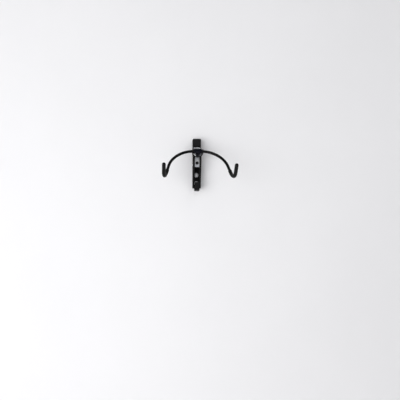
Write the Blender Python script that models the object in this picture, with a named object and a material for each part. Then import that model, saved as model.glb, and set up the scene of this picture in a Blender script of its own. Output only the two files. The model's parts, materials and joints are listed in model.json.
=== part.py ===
"""Horizontal wall bike rack.

A folded steel channel screws to the wall. A zinc plated saddle inside it
carries a round swivel plate, which turns a few degrees either way so that the
two hooks can follow a sloping bicycle tube. A cast hub on that plate holds the
bent hook bar in plastic bushes. The bar turns in the hub: it folds up against
the wall, and a loop welded to it lands on the swivel plate when it is down.

Metres, +Z up, +X to the right seen from the room, +Y into the wall. The origin
is the middle of the channel's back, on the face of the wall.
"""
import math

import bmesh
import bpy
from mathutils import Vector

# Room left between two pieces that touch
GAP = 0.0003

# Wall channel, one folded strip that is open at the front
CHANNEL_HEIGHT = 0.200
CHANNEL_WIDTH = 0.034
CHANNEL_WALL = 0.0025
CHANNEL_BEND = 0.004
CHANNEL_TOP_DEPTH = 0.036
CHANNEL_FOOT_DEPTH = 0.024
CHANNEL_CORNER = 0.004
CHANNEL_LIP = 0.012
CHANNEL_SHOULDER_RISE = 0.014
CHANNEL_WAIST = 0.034
CHANNEL_TURN_IN = 0.0048
CHANNEL_TURN_IN_CLEARANCE = 0.0026

# Where the bar's fold axis is, below the top of the channel
FOLD_AXIS_BELOW_TOP = 0.061

# Top cap, a moulded cover over the channel's upper end
CAP_WALL = 0.0027
CAP_HEIGHT = 0.033
CAP_FOOT_CLEARANCE = 0.0015
CAP_CORNER = 0.005
CAP_RIB_WALL = 0.0015
CAP_RIB_DEPTH = 0.016
CAP_RIB_HEIGHT = 0.015

# Saddle, a zinc plated bracket riveted between the channel's sides
SADDLE_DEPTH = 0.050
SADDLE_WALL = 0.003
SADDLE_BEND = 0.005
SADDLE_SIDE = 0.032
SADDLE_ABOVE_AXIS = 0.024
SADDLE_BELOW_AXIS = 0.056

# Rivets through the channel's and the saddle's sides
RIVET_DIAMETER = 0.004
RIVET_HEAD_DIAMETER = 0.009
RIVET_HEAD_HEIGHT = 0.0016
RIVET_TAIL_DIAMETER = 0.007
RIVET_TAIL_HEIGHT = 0.0014
RIVET_TAIL_EDGE = 0.001
RIVET_FROM_SADDLE_TOP = 0.012
RIVET_FROM_SADDLE_FOOT = 0.010
RIVET_FROM_SADDLE_FRONT = 0.016

# Bolt that ties the saddle's face to the channel's back through a spacer
TIE_BOLT_BELOW_AXIS = 0.040
TIE_BOLT_DIAMETER = 0.008
TIE_BOLT_HEAD_DIAMETER = 0.0125
TIE_BOLT_HEAD_HEIGHT = 0.0055
TIE_BOLT_SOCKET_DIAMETER = 0.0069
TIE_BOLT_SOCKET_DEPTH = 0.003
TIE_NUT_ACROSS = 0.015
TIE_NUT_HEIGHT = 0.0065
TIE_SPACER_WALL = 0.0022

# Swivel: boss, bush, plate, bolt, washer and nut on one level axis
SWIVEL_BELOW_FOLD_AXIS = 0.0006
SWIVEL_BOLT_DIAMETER = 0.010
SWIVEL_BOLT_HEAD_DIAMETER = 0.015
SWIVEL_BOLT_HEAD_HEIGHT = 0.004
SWIVEL_BOLT_END = 0.0035
SWIVEL_BUSH_WALL = 0.0017
SWIVEL_BUSH_FLANGE_DIAMETER = 0.022
SWIVEL_BUSH_FLANGE = 0.0012
BOSS_DIAMETER = 0.025
BOSS_LENGTH = 0.0185
SWIVEL_PLATE = 0.004
SWIVEL_PLATE_RIM = 0.0012
SWIVEL_PLATE_CHAMFER = 0.0006
SWIVEL_WASHER = 0.002
SWIVEL_WASHER_CLEARANCE = 0.0002
SWIVEL_NUT_CLEARANCE = 0.0014
SWIVEL_NUT_HEIGHT = 0.008

# Hub, a casting in two halves that clamp the bar's bushes
HUB_WIDTH = 0.029
HUB_WALL = 0.0033
HUB_SEAT = 0.0038
HUB_SHOULDER_DROP = 0.003
HUB_SHOULDER_ROUND = 0.005
HUB_NOSE_DROP = 0.017
HUB_NOSE_WIDTH = 0.0105
HUB_NOSE_ROUND = 0.0042
HUB_NOSE_FRONT = 0.0035
HUB_CHEEK_ANGLE = 20.0
BUSH_WALL = 0.00135
BUSH_FLANGE = 0.0012
BUSH_FLANGE_DIAMETER = 0.017
BUSH_MIDDLE_GAP = 0.0012

# Screws that hold the hub's halves and the swivel plate
PLATE_SCREW_DIAMETER = 0.0035
PLATE_SCREW_HEAD_DIAMETER = 0.007
PLATE_SCREW_HEAD_HEIGHT = 0.0019
PLATE_SCREW_SIDE = 0.0105
PLATE_SCREW_RISE = 0.003
PLATE_SCREW_BITE = 0.0068
COVER_SCREW_DIAMETER = 0.0035
COVER_SCREW_HEAD_DIAMETER = 0.007
COVER_SCREW_HEAD_HEIGHT = 0.0021
COVER_SCREW_DROP = 0.012
COVER_SCREW_SEAT = 0.003
COVER_SCREW_BITE = 0.0105
COVER_SCREW_SOCKET_DIAMETER = 0.003
COVER_SCREW_SOCKET_DEPTH = 0.0014

# Chamfer on the bolts' heads and ends
BOLT_EDGE = 0.0006

# Hook bar, bent from one round rod
BAR_DIAMETER = 0.011
BAR_STRAIGHT = 0.028
BAR_ARCH_RADIUS = 0.102
BAR_ARCH_TURN = 77.0
BAR_SLOPE = 56.0
BAR_REACH = 0.112
HOOK_BEND_RADIUS = 0.038
HOOK_BEND_TURN = 97.0
HOOK_PRONG = 0.039
BAR_END_CHAMFER = 0.0006

# Rubber sleeves over the two hooks
SLEEVE_WALL = 0.0012
SLEEVE_LEAD = 0.012
SLEEVE_TIP = 0.0028
SLEEVE_EDGE = 0.0004

# Loop that is welded to the bar and stops it on the swivel plate
YOKE_ROD = 0.004
YOKE_RING_WIDTH = 0.006
YOKE_RING_WALL = 0.0019
YOKE_RING_SLACK = 0.0006
YOKE_NOSE_CLEARANCE = 0.0048

# Screws into the wall, with their washers
WALL_SCREW_DIAMETER = 0.008
WALL_SCREW_HOLE_SLACK = 0.001
WALL_SCREW_IN_WALL = 0.045
WALL_SCREW_POINT = 0.008
WALL_SCREW_HEAD_ACROSS = 0.015
WALL_SCREW_HEAD_HEIGHT = 0.0053
WALL_SCREW_CHAMFER = 0.0008
WALL_WASHER_DIAMETER = 0.018
WALL_WASHER = 0.0016
TOP_SCREW_FROM_TOP = 0.014
LOW_SCREW_FROM_FOOT = 0.020
LOW_SCREW_SPACING = 0.035

# Helmet hook, a bent strap behind the two low wall screws
HELMET_STRAP = 0.003
HELMET_STRAP_WIDTH = 0.018
HELMET_STRAP_ABOVE_SCREW = 0.013
HELMET_HOOK_BELOW_CHANNEL = 0.012
HELMET_HOOK_REACH = 0.062
HELMET_HOOK_BEND = 0.012
HELMET_HOOK_LIP_RISE = 0.030
HELMET_HOOK_LIP_LEAN = 0.006
HELMET_TIP_WALL = 0.0012
HELMET_TIP_LENGTH = 0.011

# Faces round a turned piece, and points along a bend
BIG_SIDES = 36
SIDES = 24
SMALL_SIDES = 12
BAR_SIDES = 16
ARCH_STEPS = 14
HOOK_STEPS = 12
ROUND_STEPS = 4
DOME_STEPS = 3

# Distances along a bend that find its direction, and that tell two places apart
SMALL_STEP = 0.000001
SAME_PLACE = 0.00001

# Places that follow from the sizes above
CHANNEL_TOP = CHANNEL_HEIGHT / 2
CHANNEL_FOOT = -CHANNEL_HEIGHT / 2
CHANNEL_HUB_DEPTH = SADDLE_DEPTH + CHANNEL_LIP
CHANNEL_INSIDE = CHANNEL_WIDTH - 2 * CHANNEL_WALL
FOLD_AXIS_Z = CHANNEL_TOP - FOLD_AXIS_BELOW_TOP
CAP_TOP = CHANNEL_TOP + GAP + CAP_WALL
CAP_FOOT = CAP_TOP - CAP_HEIGHT
SHOULDER_TOP = CAP_FOOT - CAP_FOOT_CLEARANCE
SWIVEL_AXIS_Z = FOLD_AXIS_Z - SWIVEL_BELOW_FOLD_AXIS
TURN_IN_TOP = SWIVEL_AXIS_Z - BOSS_DIAMETER / 2 - CHANNEL_TURN_IN_CLEARANCE
SADDLE_WIDTH = CHANNEL_INSIDE - 2 * GAP
SADDLE_INSIDE_FACE = SADDLE_DEPTH - SADDLE_WALL
SADDLE_INSIDE = SADDLE_WIDTH - 2 * SADDLE_WALL
SADDLE_INNER_BEND = SADDLE_BEND - SADDLE_WALL
BOSS_BACK = SADDLE_DEPTH + GAP
BOSS_FRONT = BOSS_BACK + BOSS_LENGTH
SWIVEL_FLANGE_FRONT = BOSS_FRONT + GAP + SWIVEL_BUSH_FLANGE
PLATE_BACK = SWIVEL_FLANGE_FRONT + GAP
PLATE_FRONT = PLATE_BACK + SWIVEL_PLATE
HUB_BACK = PLATE_FRONT + GAP
BAR_RADIUS = BAR_DIAMETER / 2
BUSH_BORE_RADIUS = BAR_RADIUS + GAP
BUSH_RADIUS = BUSH_BORE_RADIUS + BUSH_WALL
HUB_BORE_RADIUS = BUSH_RADIUS + GAP
HUB_ROUND = HUB_BORE_RADIUS + HUB_WALL
SWIVEL_HEAD_SEAT = HUB_BACK + HUB_SEAT
SWIVEL_HEAD_BACK = SWIVEL_HEAD_SEAT + GAP
FOLD_AXIS_DEPTH = SWIVEL_HEAD_BACK + SWIVEL_BOLT_HEAD_HEIGHT + GAP + HUB_BORE_RADIUS
HUB_HALF_WIDTH = HUB_WIDTH / 2
BUSH_END = HUB_HALF_WIDTH + GAP + BUSH_FLANGE
YOKE_HALF_WIDTH = BUSH_END + GAP + YOKE_RING_WIDTH / 2
YOKE_BORE_RADIUS = BAR_RADIUS + YOKE_RING_SLACK
YOKE_RING_RADIUS = YOKE_BORE_RADIUS + YOKE_RING_WALL
HUB_NOSE_REACH = math.hypot(HUB_NOSE_FRONT, HUB_NOSE_DROP)
YOKE_REACH = HUB_NOSE_REACH + YOKE_NOSE_CLEARANCE + YOKE_ROD / 2
YOKE_BACK_STEP = FOLD_AXIS_DEPTH - (PLATE_FRONT + GAP + YOKE_ROD / 2)
YOKE_DROP = math.sqrt(YOKE_REACH ** 2 - YOKE_BACK_STEP ** 2)
PLATE_RADIUS = YOKE_DROP - SWIVEL_BELOW_FOLD_AXIS + SWIVEL_PLATE_RIM
TOP_SCREW_Z = CHANNEL_TOP - TOP_SCREW_FROM_TOP
LOW_SCREW_Z = CHANNEL_FOOT + LOW_SCREW_FROM_FOOT
MIDDLE_SCREW_Z = LOW_SCREW_Z + LOW_SCREW_SPACING
STRAP_BACK = CHANNEL_WALL + GAP
STRAP_FRONT = STRAP_BACK + HELMET_STRAP


def clear_scene():
    """Remove every object that the file opened with."""
    for old in list(bpy.data.objects):
        bpy.data.objects.remove(old, do_unlink=True)


def make_material(name, colour, roughness, metallic):
    """Make one plain Principled material."""
    material = bpy.data.materials.new(name)
    material.use_nodes = True
    shader = material.node_tree.nodes["Principled BSDF"]
    shader.inputs["Base Color"].default_value = (*colour, 1.0)
    shader.inputs["Roughness"].default_value = roughness
    shader.inputs["Metallic"].default_value = metallic
    material.diffuse_color = (*colour, 1.0)
    return material


def make_empty(name, location):
    """Make an empty that stands on a joint's axis."""
    empty = bpy.data.objects.new(name, None)
    empty.empty_display_size = 0.02
    empty.location = location
    bpy.context.scene.collection.objects.link(empty)
    return empty


def face_outwards(bm):
    """Turn every face outwards, also on a tube that bends round on itself."""
    bmesh.ops.recalc_face_normals(bm, faces=bm.faces)
    if bm.calc_volume(signed=True) < 0:
        bmesh.ops.reverse_faces(bm, faces=bm.faces)


def make_object(name, bm, material, parent=None, smooth=True):
    """Turn a bmesh in world places into an object, with its origin on its parent."""
    face_outwards(bm)
    if parent is not None:
        bmesh.ops.translate(bm, verts=bm.verts, vec=-parent.location)
    mesh = bpy.data.meshes.new(name)
    bm.to_mesh(mesh)
    bm.free()
    if smooth:
        mesh.shade_smooth()
        mesh.set_sharp_from_angle(angle=math.radians(30))
    piece = bpy.data.objects.new(name, mesh)
    piece.data.materials.append(material)
    piece.parent = parent
    bpy.context.scene.collection.objects.link(piece)
    return piece


def make_cutter(name, bm, parent=None):
    """Make a shape that only cuts or joins another piece."""
    face_outwards(bm)
    if parent is not None:
        bmesh.ops.translate(bm, verts=bm.verts, vec=-parent.location)
    mesh = bpy.data.meshes.new(name)
    bm.to_mesh(mesh)
    bm.free()
    cutter = bpy.data.objects.new(name, mesh)
    cutter.parent = parent
    cutter.hide_render = True
    cutter.display_type = "WIRE"
    bpy.context.scene.collection.objects.link(cutter)
    return cutter


def add_boolean(piece, tool, operation):
    """Let one shape cut, join or trim a piece."""
    modifier = piece.modifiers.new(tool.name, "BOOLEAN")
    modifier.operation = operation
    modifier.solver = "EXACT"
    modifier.object = tool


def at(x, depth, z):
    """Give the point at a distance out from the wall."""
    return Vector((x, -depth, z))


def rounded(corners):
    """Give a closed outline whose corners (x, y, radius) are rounded."""
    outline = []
    count = len(corners)
    for index, (x, y, radius) in enumerate(corners):
        here = Vector((x, y))
        if radius == 0:
            outline.append(here)
            continue
        before = (Vector(corners[index - 1][:2]) - here).normalized()
        after = (Vector(corners[(index + 1) % count][:2]) - here).normalized()
        half = before.angle(after) / 2
        centre = here + (before + after).normalized() * (radius / math.sin(half))
        start = here + before * (radius / math.tan(half)) - centre
        sweep = start.angle_signed(here + after * (radius / math.tan(half)) - centre)
        for step in range(ROUND_STEPS + 1):
            turn = -sweep * step / ROUND_STEPS
            cosine = math.cos(turn)
            sine = math.sin(turn)
            spoke = Vector((start.x * cosine - start.y * sine, start.x * sine + start.y * cosine))
            outline.append(centre + spoke)
    return outline


def add_prism(bm, outline, place, low, high):
    """Add an outline that is pushed out between two levels; place(a, b, level) gives a point."""
    bottom = [bm.verts.new(place(point[0], point[1], low)) for point in outline]
    top = [bm.verts.new(place(point[0], point[1], high)) for point in outline]
    bm.faces.new(bottom)
    bm.faces.new(list(reversed(top)))
    count = len(outline)
    for index in range(count):
        following = (index + 1) % count
        bm.faces.new((bottom[index], top[index], top[following], bottom[following]))


def plan(x, depth, z):
    """Place an outline drawn from above: x across, depth from the wall, level up."""
    return at(x, depth, z)


def side(depth, z, x):
    """Place an outline drawn from the side: depth from the wall, height, level across."""
    return at(x, depth, z)


def front(x, z, depth):
    """Place an outline drawn from the front: x across, height, level from the wall."""
    return at(x, depth, z)


def ring_point(radius, turn, hexagonal):
    """Give the distance of a ring's point from its axis: round, or a hexagon's corners and flats."""
    if not hexagonal:
        return radius
    sixth = math.pi / 3
    from_flat = (turn % sixth) - sixth / 2
    return radius * math.cos(sixth / 2) / math.cos(from_flat)


class Path:
    """A smooth run of points with a frame at every distance along it."""

    def __init__(self, points, across):
        """Take the points, and one direction across the place where a sweep starts."""
        self.points = [Vector(point) for point in points]
        self.across = Vector(across)
        self.marks = [0.0]
        for start, end in zip(self.points, self.points[1:]):
            self.marks.append(self.marks[-1] + (end - start).length)
        self.length = self.marks[-1]

    def tangent(self, distance):
        """Give the direction of the run at a distance along it."""
        ahead = self.position(distance + SMALL_STEP)
        behind = self.position(distance - SMALL_STEP)
        return (ahead - behind).normalized()

    def position(self, distance):
        """Give the point at a distance along the run, also past its ends."""
        index = 0
        last = len(self.points) - 2
        while index < last and distance > self.marks[index + 1]:
            index += 1
        start = self.points[index]
        end = self.points[index + 1]
        share = (distance - self.marks[index]) / (self.marks[index + 1] - self.marks[index])
        return start.lerp(end, share)

    def between(self, low, high):
        """Give the distances of the run's own points between two places on it."""
        return [mark for mark in self.marks if low + SAME_PLACE < mark < high - SAME_PLACE]


def join_rings(bm, rings, closed):
    """Join rings of points with faces, one after another; a ring of one point is a tip."""
    pairs = list(zip(rings, rings[1:]))
    if closed:
        pairs.append((rings[-1], rings[0]))
    for low, high in pairs:
        sides = max(len(low), len(high))
        for number in range(sides):
            following = (number + 1) % sides
            if len(low) == 1:
                bm.faces.new((low[0], high[following], high[number]))
            elif len(high) == 1:
                bm.faces.new((low[number], low[following], high[0]))
            else:
                bm.faces.new((low[number], low[following], high[following], high[number]))


def add_swept(bm, path, stations, sides=SIDES, closed=False):
    """Add a body whose outline (distance, radius, hexagonal) is turned about a path.

    Each ring follows the one before, so that nothing twists along a bend. An outline
    that isn't closed starts and ends on the path itself, with radius 0.
    """
    forward = path.tangent(stations[0][0])
    normal = path.across
    rings = []
    for distance, radius, *kind in stations:
        following = path.tangent(distance)
        normal = forward.rotation_difference(following) @ normal
        forward = following
        normal = (normal - forward * normal.dot(forward)).normalized()
        sideways = forward.cross(normal)
        centre = path.position(distance)
        if radius == 0:
            rings.append([bm.verts.new(centre)])
            continue
        ring = []
        for number in range(sides):
            turn = 2 * math.pi * number / sides
            reach = ring_point(radius, turn, bool(kind and kind[0]))
            spoke = normal * (reach * math.cos(turn)) + sideways * (reach * math.sin(turn))
            ring.append(bm.verts.new(centre + spoke))
        rings.append(ring)
    join_rings(bm, rings, closed)


def out_from_wall(x, z):
    """Give the path that runs straight out from the wall, measured from its face."""
    return Path([at(x, 0, z), at(x, 1, z)], (0, 0, 1))


def across_from_middle(depth, z, hand=1):
    """Give the path that runs to one hand, measured from the rack's middle."""
    return Path([at(0, depth, z), at(hand, depth, z)], (0, 0, 1))


def ring_stations(low, high, inner, outer):
    """Give a plain ring's outline, to be closed."""
    return [(low, inner), (low, outer), (high, outer), (high, inner)]


def cylinder_stations(low, high, radius):
    """Give a plain cylinder's outline."""
    return [(low, 0), (low, radius), (high, radius), (high, 0)]


def screw_places():
    """Give the three wall screws' names and heights, with what their washers sit on."""
    return [
        ("top", TOP_SCREW_Z, CHANNEL_WALL),
        ("middle", MIDDLE_SCREW_Z, STRAP_FRONT),
        ("low", LOW_SCREW_Z, STRAP_FRONT),
    ]


def rivet_places():
    """Give the rivets' depth, and their rows' names and heights."""
    saddle_top = FOLD_AXIS_Z + SADDLE_ABOVE_AXIS
    saddle_foot = FOLD_AXIS_Z - SADDLE_BELOW_AXIS
    depth = SADDLE_DEPTH - RIVET_FROM_SADDLE_FRONT
    rows = [
        ("top", saddle_top - RIVET_FROM_SADDLE_TOP),
        ("low", saddle_foot + RIVET_FROM_SADDLE_FOOT),
    ]
    return depth, rows


def add_rivet_holes(bm):
    """Add the cutters of the rivets' holes, right across the rack."""
    depth, rows = rivet_places()
    half = CHANNEL_WIDTH
    for _, z in rows:
        run = across_from_middle(depth, z)
        add_swept(bm, run, cylinder_stations(-half, half, RIVET_DIAMETER / 2 + GAP), SMALL_SIDES)


def bar_points():
    """Give the bar's centre line from the middle to the tip of the right hook."""
    slope = math.radians(BAR_SLOPE)
    down = Vector((0, -math.cos(slope), -math.sin(slope)))
    lift = Vector((0, -math.sin(slope), math.cos(slope)))
    out = Vector((1, 0, 0))
    middle = at(0, FOLD_AXIS_DEPTH, FOLD_AXIS_Z)
    turn = math.radians(BAR_ARCH_TURN)
    points = [middle]
    for step in range(ARCH_STEPS + 1):
        angle = turn * step / ARCH_STEPS
        run = BAR_STRAIGHT / 2 + BAR_ARCH_RADIUS * math.sin(angle)
        fall = BAR_ARCH_RADIUS * (1 - math.cos(angle))
        points.append(middle + out * run + down * fall)
    leg = out * math.cos(turn) + down * math.sin(turn)
    leg_length = (BAR_REACH - BAR_ARCH_RADIUS * (1 - math.cos(turn))) / math.sin(turn)
    hook_start = points[-1] + leg * leg_length
    centre = hook_start + lift * HOOK_BEND_RADIUS
    for step in range(HOOK_STEPS + 1):
        angle = math.radians(HOOK_BEND_TURN) * step / HOOK_STEPS
        spoke = leg * math.sin(angle) - lift * math.cos(angle)
        points.append(centre + spoke * HOOK_BEND_RADIUS)
    bend = math.radians(HOOK_BEND_TURN)
    prong = leg * math.cos(bend) + lift * math.sin(bend)
    points.append(points[-1] + prong * HOOK_PRONG)
    return points


def mirrored(points):
    """Give the same points on the rack's other side."""
    return [Vector((-point.x, point.y, point.z)) for point in points]


def build_wall_channel(material):
    """Fold the channel from a strip: a back, two stepped sides, and their front edges turned in below the hub."""
    half = CHANNEL_WIDTH / 2
    inside = CHANNEL_INSIDE / 2
    deep = CHANNEL_HUB_DEPTH + CHANNEL_LIP
    inner_bend = CHANNEL_BEND - CHANNEL_WALL
    section = rounded([
        (-half, deep, 0), (-half, 0, CHANNEL_BEND), (half, 0, CHANNEL_BEND), (half, deep, 0),
        (inside, deep, 0), (inside, CHANNEL_WALL, inner_bend),
        (-inside, CHANNEL_WALL, inner_bend), (-inside, deep, 0),
    ])
    bm = bmesh.new()
    add_prism(bm, section, plan, CHANNEL_FOOT - CHANNEL_WALL, CHANNEL_TOP + CHANNEL_WALL)
    channel = make_object("wall_channel", bm, material, smooth=False)

    waist = FOLD_AXIS_Z - CHANNEL_WAIST
    behind = -CHANNEL_WALL
    lean = (CHANNEL_HUB_DEPTH - CHANNEL_FOOT_DEPTH) / (waist - CHANNEL_FOOT)
    leaning_wall = CHANNEL_WALL * math.hypot(1, lean)
    below = CHANNEL_FOOT - CHANNEL_WALL
    edge_strip = [
        (CHANNEL_HUB_DEPTH - CHANNEL_WALL, TURN_IN_TOP), (deep, TURN_IN_TOP), (deep, below),
        (CHANNEL_HUB_DEPTH - leaning_wall - lean * (waist - below), below),
        (CHANNEL_HUB_DEPTH - CHANNEL_WALL, waist + (leaning_wall - CHANNEL_WALL) / lean),
    ]
    edges = bmesh.new()
    for hand in (-1, 1):
        near, far = sorted((hand * (inside - CHANNEL_TURN_IN), hand * (half - CHANNEL_WALL / 2)))
        add_prism(edges, edge_strip, side, near, far)
    add_boolean(channel, make_cutter("channel_turned_in_edges", edges), "UNION")
    profile = rounded([
        (behind, CHANNEL_FOOT, 0), (behind, CHANNEL_TOP, 0),
        (CHANNEL_TOP_DEPTH, CHANNEL_TOP, CHANNEL_CORNER),
        (CHANNEL_TOP_DEPTH, SHOULDER_TOP, CHANNEL_CORNER),
        (CHANNEL_HUB_DEPTH, SHOULDER_TOP - CHANNEL_SHOULDER_RISE, CHANNEL_CORNER),
        (CHANNEL_HUB_DEPTH, waist, CHANNEL_CORNER),
        (CHANNEL_FOOT_DEPTH, CHANNEL_FOOT, CHANNEL_CORNER),
    ])
    trim = bmesh.new()
    add_prism(trim, profile, side, -CHANNEL_WIDTH, CHANNEL_WIDTH)
    add_boolean(channel, make_cutter("channel_side_shape", trim), "INTERSECT")

    holes = bmesh.new()
    radius = (WALL_SCREW_DIAMETER + WALL_SCREW_HOLE_SLACK) / 2
    for _, z, _ in screw_places():
        stations = cylinder_stations(-CHANNEL_WALL, 2 * CHANNEL_WALL, radius)
        add_swept(holes, out_from_wall(0, z), stations, SIDES)
    add_rivet_holes(holes)
    add_boolean(channel, make_cutter("channel_holes", holes), "DIFFERENCE")
    return channel


def build_top_cap(material):
    """Mould the cap: a face and a top in one bent shell, with two ribs that grip the channel."""
    half = CHANNEL_WIDTH / 2
    inner_front = CHANNEL_TOP_DEPTH + GAP
    outer_front = inner_front + CAP_WALL
    inner_top = CHANNEL_TOP + GAP
    bend = rounded([
        (GAP, CAP_TOP, 0), (outer_front, CAP_TOP, CHANNEL_CORNER + CAP_WALL),
        (outer_front, CAP_FOOT, 0),
        (inner_front, CAP_FOOT, 0), (inner_front, inner_top, CHANNEL_CORNER), (GAP, inner_top, 0),
    ])
    bm = bmesh.new()
    add_prism(bm, bend, side, -half - CAP_WALL, half + CAP_WALL)
    cap = make_object("top_cap", bm, material, smooth=False)

    face = rounded([
        (-half, CAP_FOOT - CAP_WALL, 0), (half, CAP_FOOT - CAP_WALL, 0),
        (half, CAP_TOP, CAP_CORNER), (-half, CAP_TOP, CAP_CORNER),
    ])
    trim = bmesh.new()
    add_prism(trim, face, front, -CAP_WALL, outer_front + CAP_WALL)
    add_boolean(cap, make_cutter("cap_front_shape", trim), "INTERSECT")

    ribs = bmesh.new()
    rib_outside = CHANNEL_INSIDE / 2 - GAP
    rib_top = inner_top - 2 * CHANNEL_CORNER
    for hand in (-1, 1):
        edges = sorted((hand * rib_outside, hand * (rib_outside - CAP_RIB_WALL)))
        outline = [
            (edges[0], inner_front - CAP_RIB_DEPTH), (edges[1], inner_front - CAP_RIB_DEPTH),
            (edges[1], inner_front + CAP_WALL / 2), (edges[0], inner_front + CAP_WALL / 2),
        ]
        add_prism(ribs, outline, plan, rib_top - CAP_RIB_HEIGHT + CHANNEL_CORNER, rib_top)
    add_boolean(cap, make_cutter("cap_ribs", ribs), "UNION")
    return cap


def build_saddle(material):
    """Fold the saddle: a face between two sides that stand inside the channel."""
    half = SADDLE_WIDTH / 2
    inside = SADDLE_INSIDE / 2
    back = SADDLE_DEPTH - SADDLE_SIDE
    section = rounded([
        (-half, back, 0), (-half, SADDLE_DEPTH, SADDLE_BEND),
        (half, SADDLE_DEPTH, SADDLE_BEND), (half, back, 0),
        (inside, back, 0), (inside, SADDLE_INSIDE_FACE, SADDLE_INNER_BEND),
        (-inside, SADDLE_INSIDE_FACE, SADDLE_INNER_BEND), (-inside, back, 0),
    ])
    bm = bmesh.new()
    add_prism(bm, section, plan, FOLD_AXIS_Z - SADDLE_BELOW_AXIS, FOLD_AXIS_Z + SADDLE_ABOVE_AXIS)
    saddle = make_object("saddle_bracket", bm, material, smooth=False)

    holes = bmesh.new()
    low = SADDLE_INSIDE_FACE - SADDLE_WALL
    high = SADDLE_DEPTH + SADDLE_WALL
    for z, radius in (
        (SWIVEL_AXIS_Z, SWIVEL_BOLT_DIAMETER / 2 + GAP),
        (FOLD_AXIS_Z - TIE_BOLT_BELOW_AXIS, TIE_BOLT_DIAMETER / 2 + GAP),
    ):
        add_swept(holes, out_from_wall(0, z), cylinder_stations(low, high, radius), SIDES)
    add_rivet_holes(holes)
    add_boolean(saddle, make_cutter("saddle_holes", holes), "DIFFERENCE")
    return saddle


def build_rivets(material):
    """Set the four rivets that join the saddle to the channel."""
    depth, rows = rivet_places()
    shank = RIVET_DIAMETER / 2
    head = RIVET_HEAD_DIAMETER / 2
    tail = RIVET_TAIL_DIAMETER / 2
    seat = CHANNEL_WIDTH / 2 + GAP
    inner_seat = SADDLE_INSIDE / 2 - GAP
    stations = [(seat + RIVET_HEAD_HEIGHT, 0)]
    for step in range(1, DOME_STEPS + 1):
        angle = math.pi / 2 * step / DOME_STEPS
        stations.append((seat + RIVET_HEAD_HEIGHT * math.cos(angle), head * math.sin(angle)))
    stations += [
        (seat, shank), (inner_seat, shank), (inner_seat, tail),
        (inner_seat - RIVET_TAIL_HEIGHT, tail - RIVET_TAIL_EDGE), (inner_seat - RIVET_TAIL_HEIGHT, 0),
    ]
    for row, z in rows:
        for hand_name, hand in (("left", -1), ("right", 1)):
            bm = bmesh.new()
            add_swept(bm, across_from_middle(depth, z, hand), stations, SMALL_SIDES)
            make_object(f"saddle_rivet_{row}_{hand_name}", bm, material)


def build_tie_bolt(material):
    """Turn the socket bolt that ties the saddle's face back to the channel."""
    radius = TIE_BOLT_DIAMETER / 2
    seat = SADDLE_DEPTH + GAP
    top = seat + TIE_BOLT_HEAD_HEIGHT
    socket = TIE_BOLT_SOCKET_DIAMETER / 2
    head = TIE_BOLT_HEAD_DIAMETER / 2
    edge = BOLT_EDGE
    stations = [
        (CHANNEL_WALL + GAP, 0), (CHANNEL_WALL + GAP, radius), (seat, radius), (seat, head),
        (top - edge, head), (top, head - edge), (top, socket, True),
        (top - TIE_BOLT_SOCKET_DEPTH, socket, True), (top - TIE_BOLT_SOCKET_DEPTH, 0),
    ]
    bm = bmesh.new()
    add_swept(bm, out_from_wall(0, FOLD_AXIS_Z - TIE_BOLT_BELOW_AXIS), stations, SIDES)
    return make_object("tie_bolt", bm, material)


def build_tie_nut(material):
    """Make the nut that is welded to the channel's back."""
    low = CHANNEL_WALL + GAP
    high = low + TIE_NUT_HEIGHT
    bore = TIE_BOLT_DIAMETER / 2 + GAP
    across = TIE_NUT_ACROSS / 2
    bm = bmesh.new()
    stations = [(low, bore), (low, across, True), (high, across, True), (high, bore)]
    add_swept(bm, out_from_wall(0, FOLD_AXIS_Z - TIE_BOLT_BELOW_AXIS), stations, SIDES, closed=True)
    return make_object("tie_nut", bm, material)


def build_tie_spacer(material):
    """Cut the tube that keeps the saddle's face off the channel's back."""
    low = CHANNEL_WALL + GAP + TIE_NUT_HEIGHT + GAP
    high = SADDLE_INSIDE_FACE - GAP
    bore = TIE_BOLT_DIAMETER / 2 + GAP
    bm = bmesh.new()
    stations = ring_stations(low, high, bore, bore + TIE_SPACER_WALL)
    add_swept(bm, out_from_wall(0, FOLD_AXIS_Z - TIE_BOLT_BELOW_AXIS), stations, SIDES, closed=True)
    return make_object("tie_spacer", bm, material)


def build_bearing_boss(material):
    """Turn the boss that stands on the saddle's face and holds the swivel bush."""
    bore = SWIVEL_BOLT_DIAMETER / 2 + GAP + SWIVEL_BUSH_WALL + GAP
    bm = bmesh.new()
    stations = ring_stations(BOSS_BACK, BOSS_FRONT, bore, BOSS_DIAMETER / 2)
    add_swept(bm, out_from_wall(0, SWIVEL_AXIS_Z), stations, BIG_SIDES, closed=True)
    return make_object("bearing_boss", bm, material)


def build_swivel_bush(material):
    """Turn the flanged plastic bush that the swivel bolt turns in."""
    bore = SWIVEL_BOLT_DIAMETER / 2 + GAP
    body = bore + SWIVEL_BUSH_WALL
    flange = SWIVEL_BUSH_FLANGE_DIAMETER / 2
    flange_back = BOSS_FRONT + GAP
    bm = bmesh.new()
    stations = [
        (BOSS_BACK, bore), (BOSS_BACK, body), (flange_back, body), (flange_back, flange),
        (SWIVEL_FLANGE_FRONT, flange), (SWIVEL_FLANGE_FRONT, bore),
    ]
    add_swept(bm, out_from_wall(0, SWIVEL_AXIS_Z), stations, SIDES, closed=True)
    return make_object("swivel_bush", bm, material)


def plate_screw_places():
    """Give the two paths of the screws that hold the swivel plate to the hub."""
    z = FOLD_AXIS_Z + PLATE_SCREW_RISE
    return [out_from_wall(-PLATE_SCREW_SIDE, z), out_from_wall(PLATE_SCREW_SIDE, z)]


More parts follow.
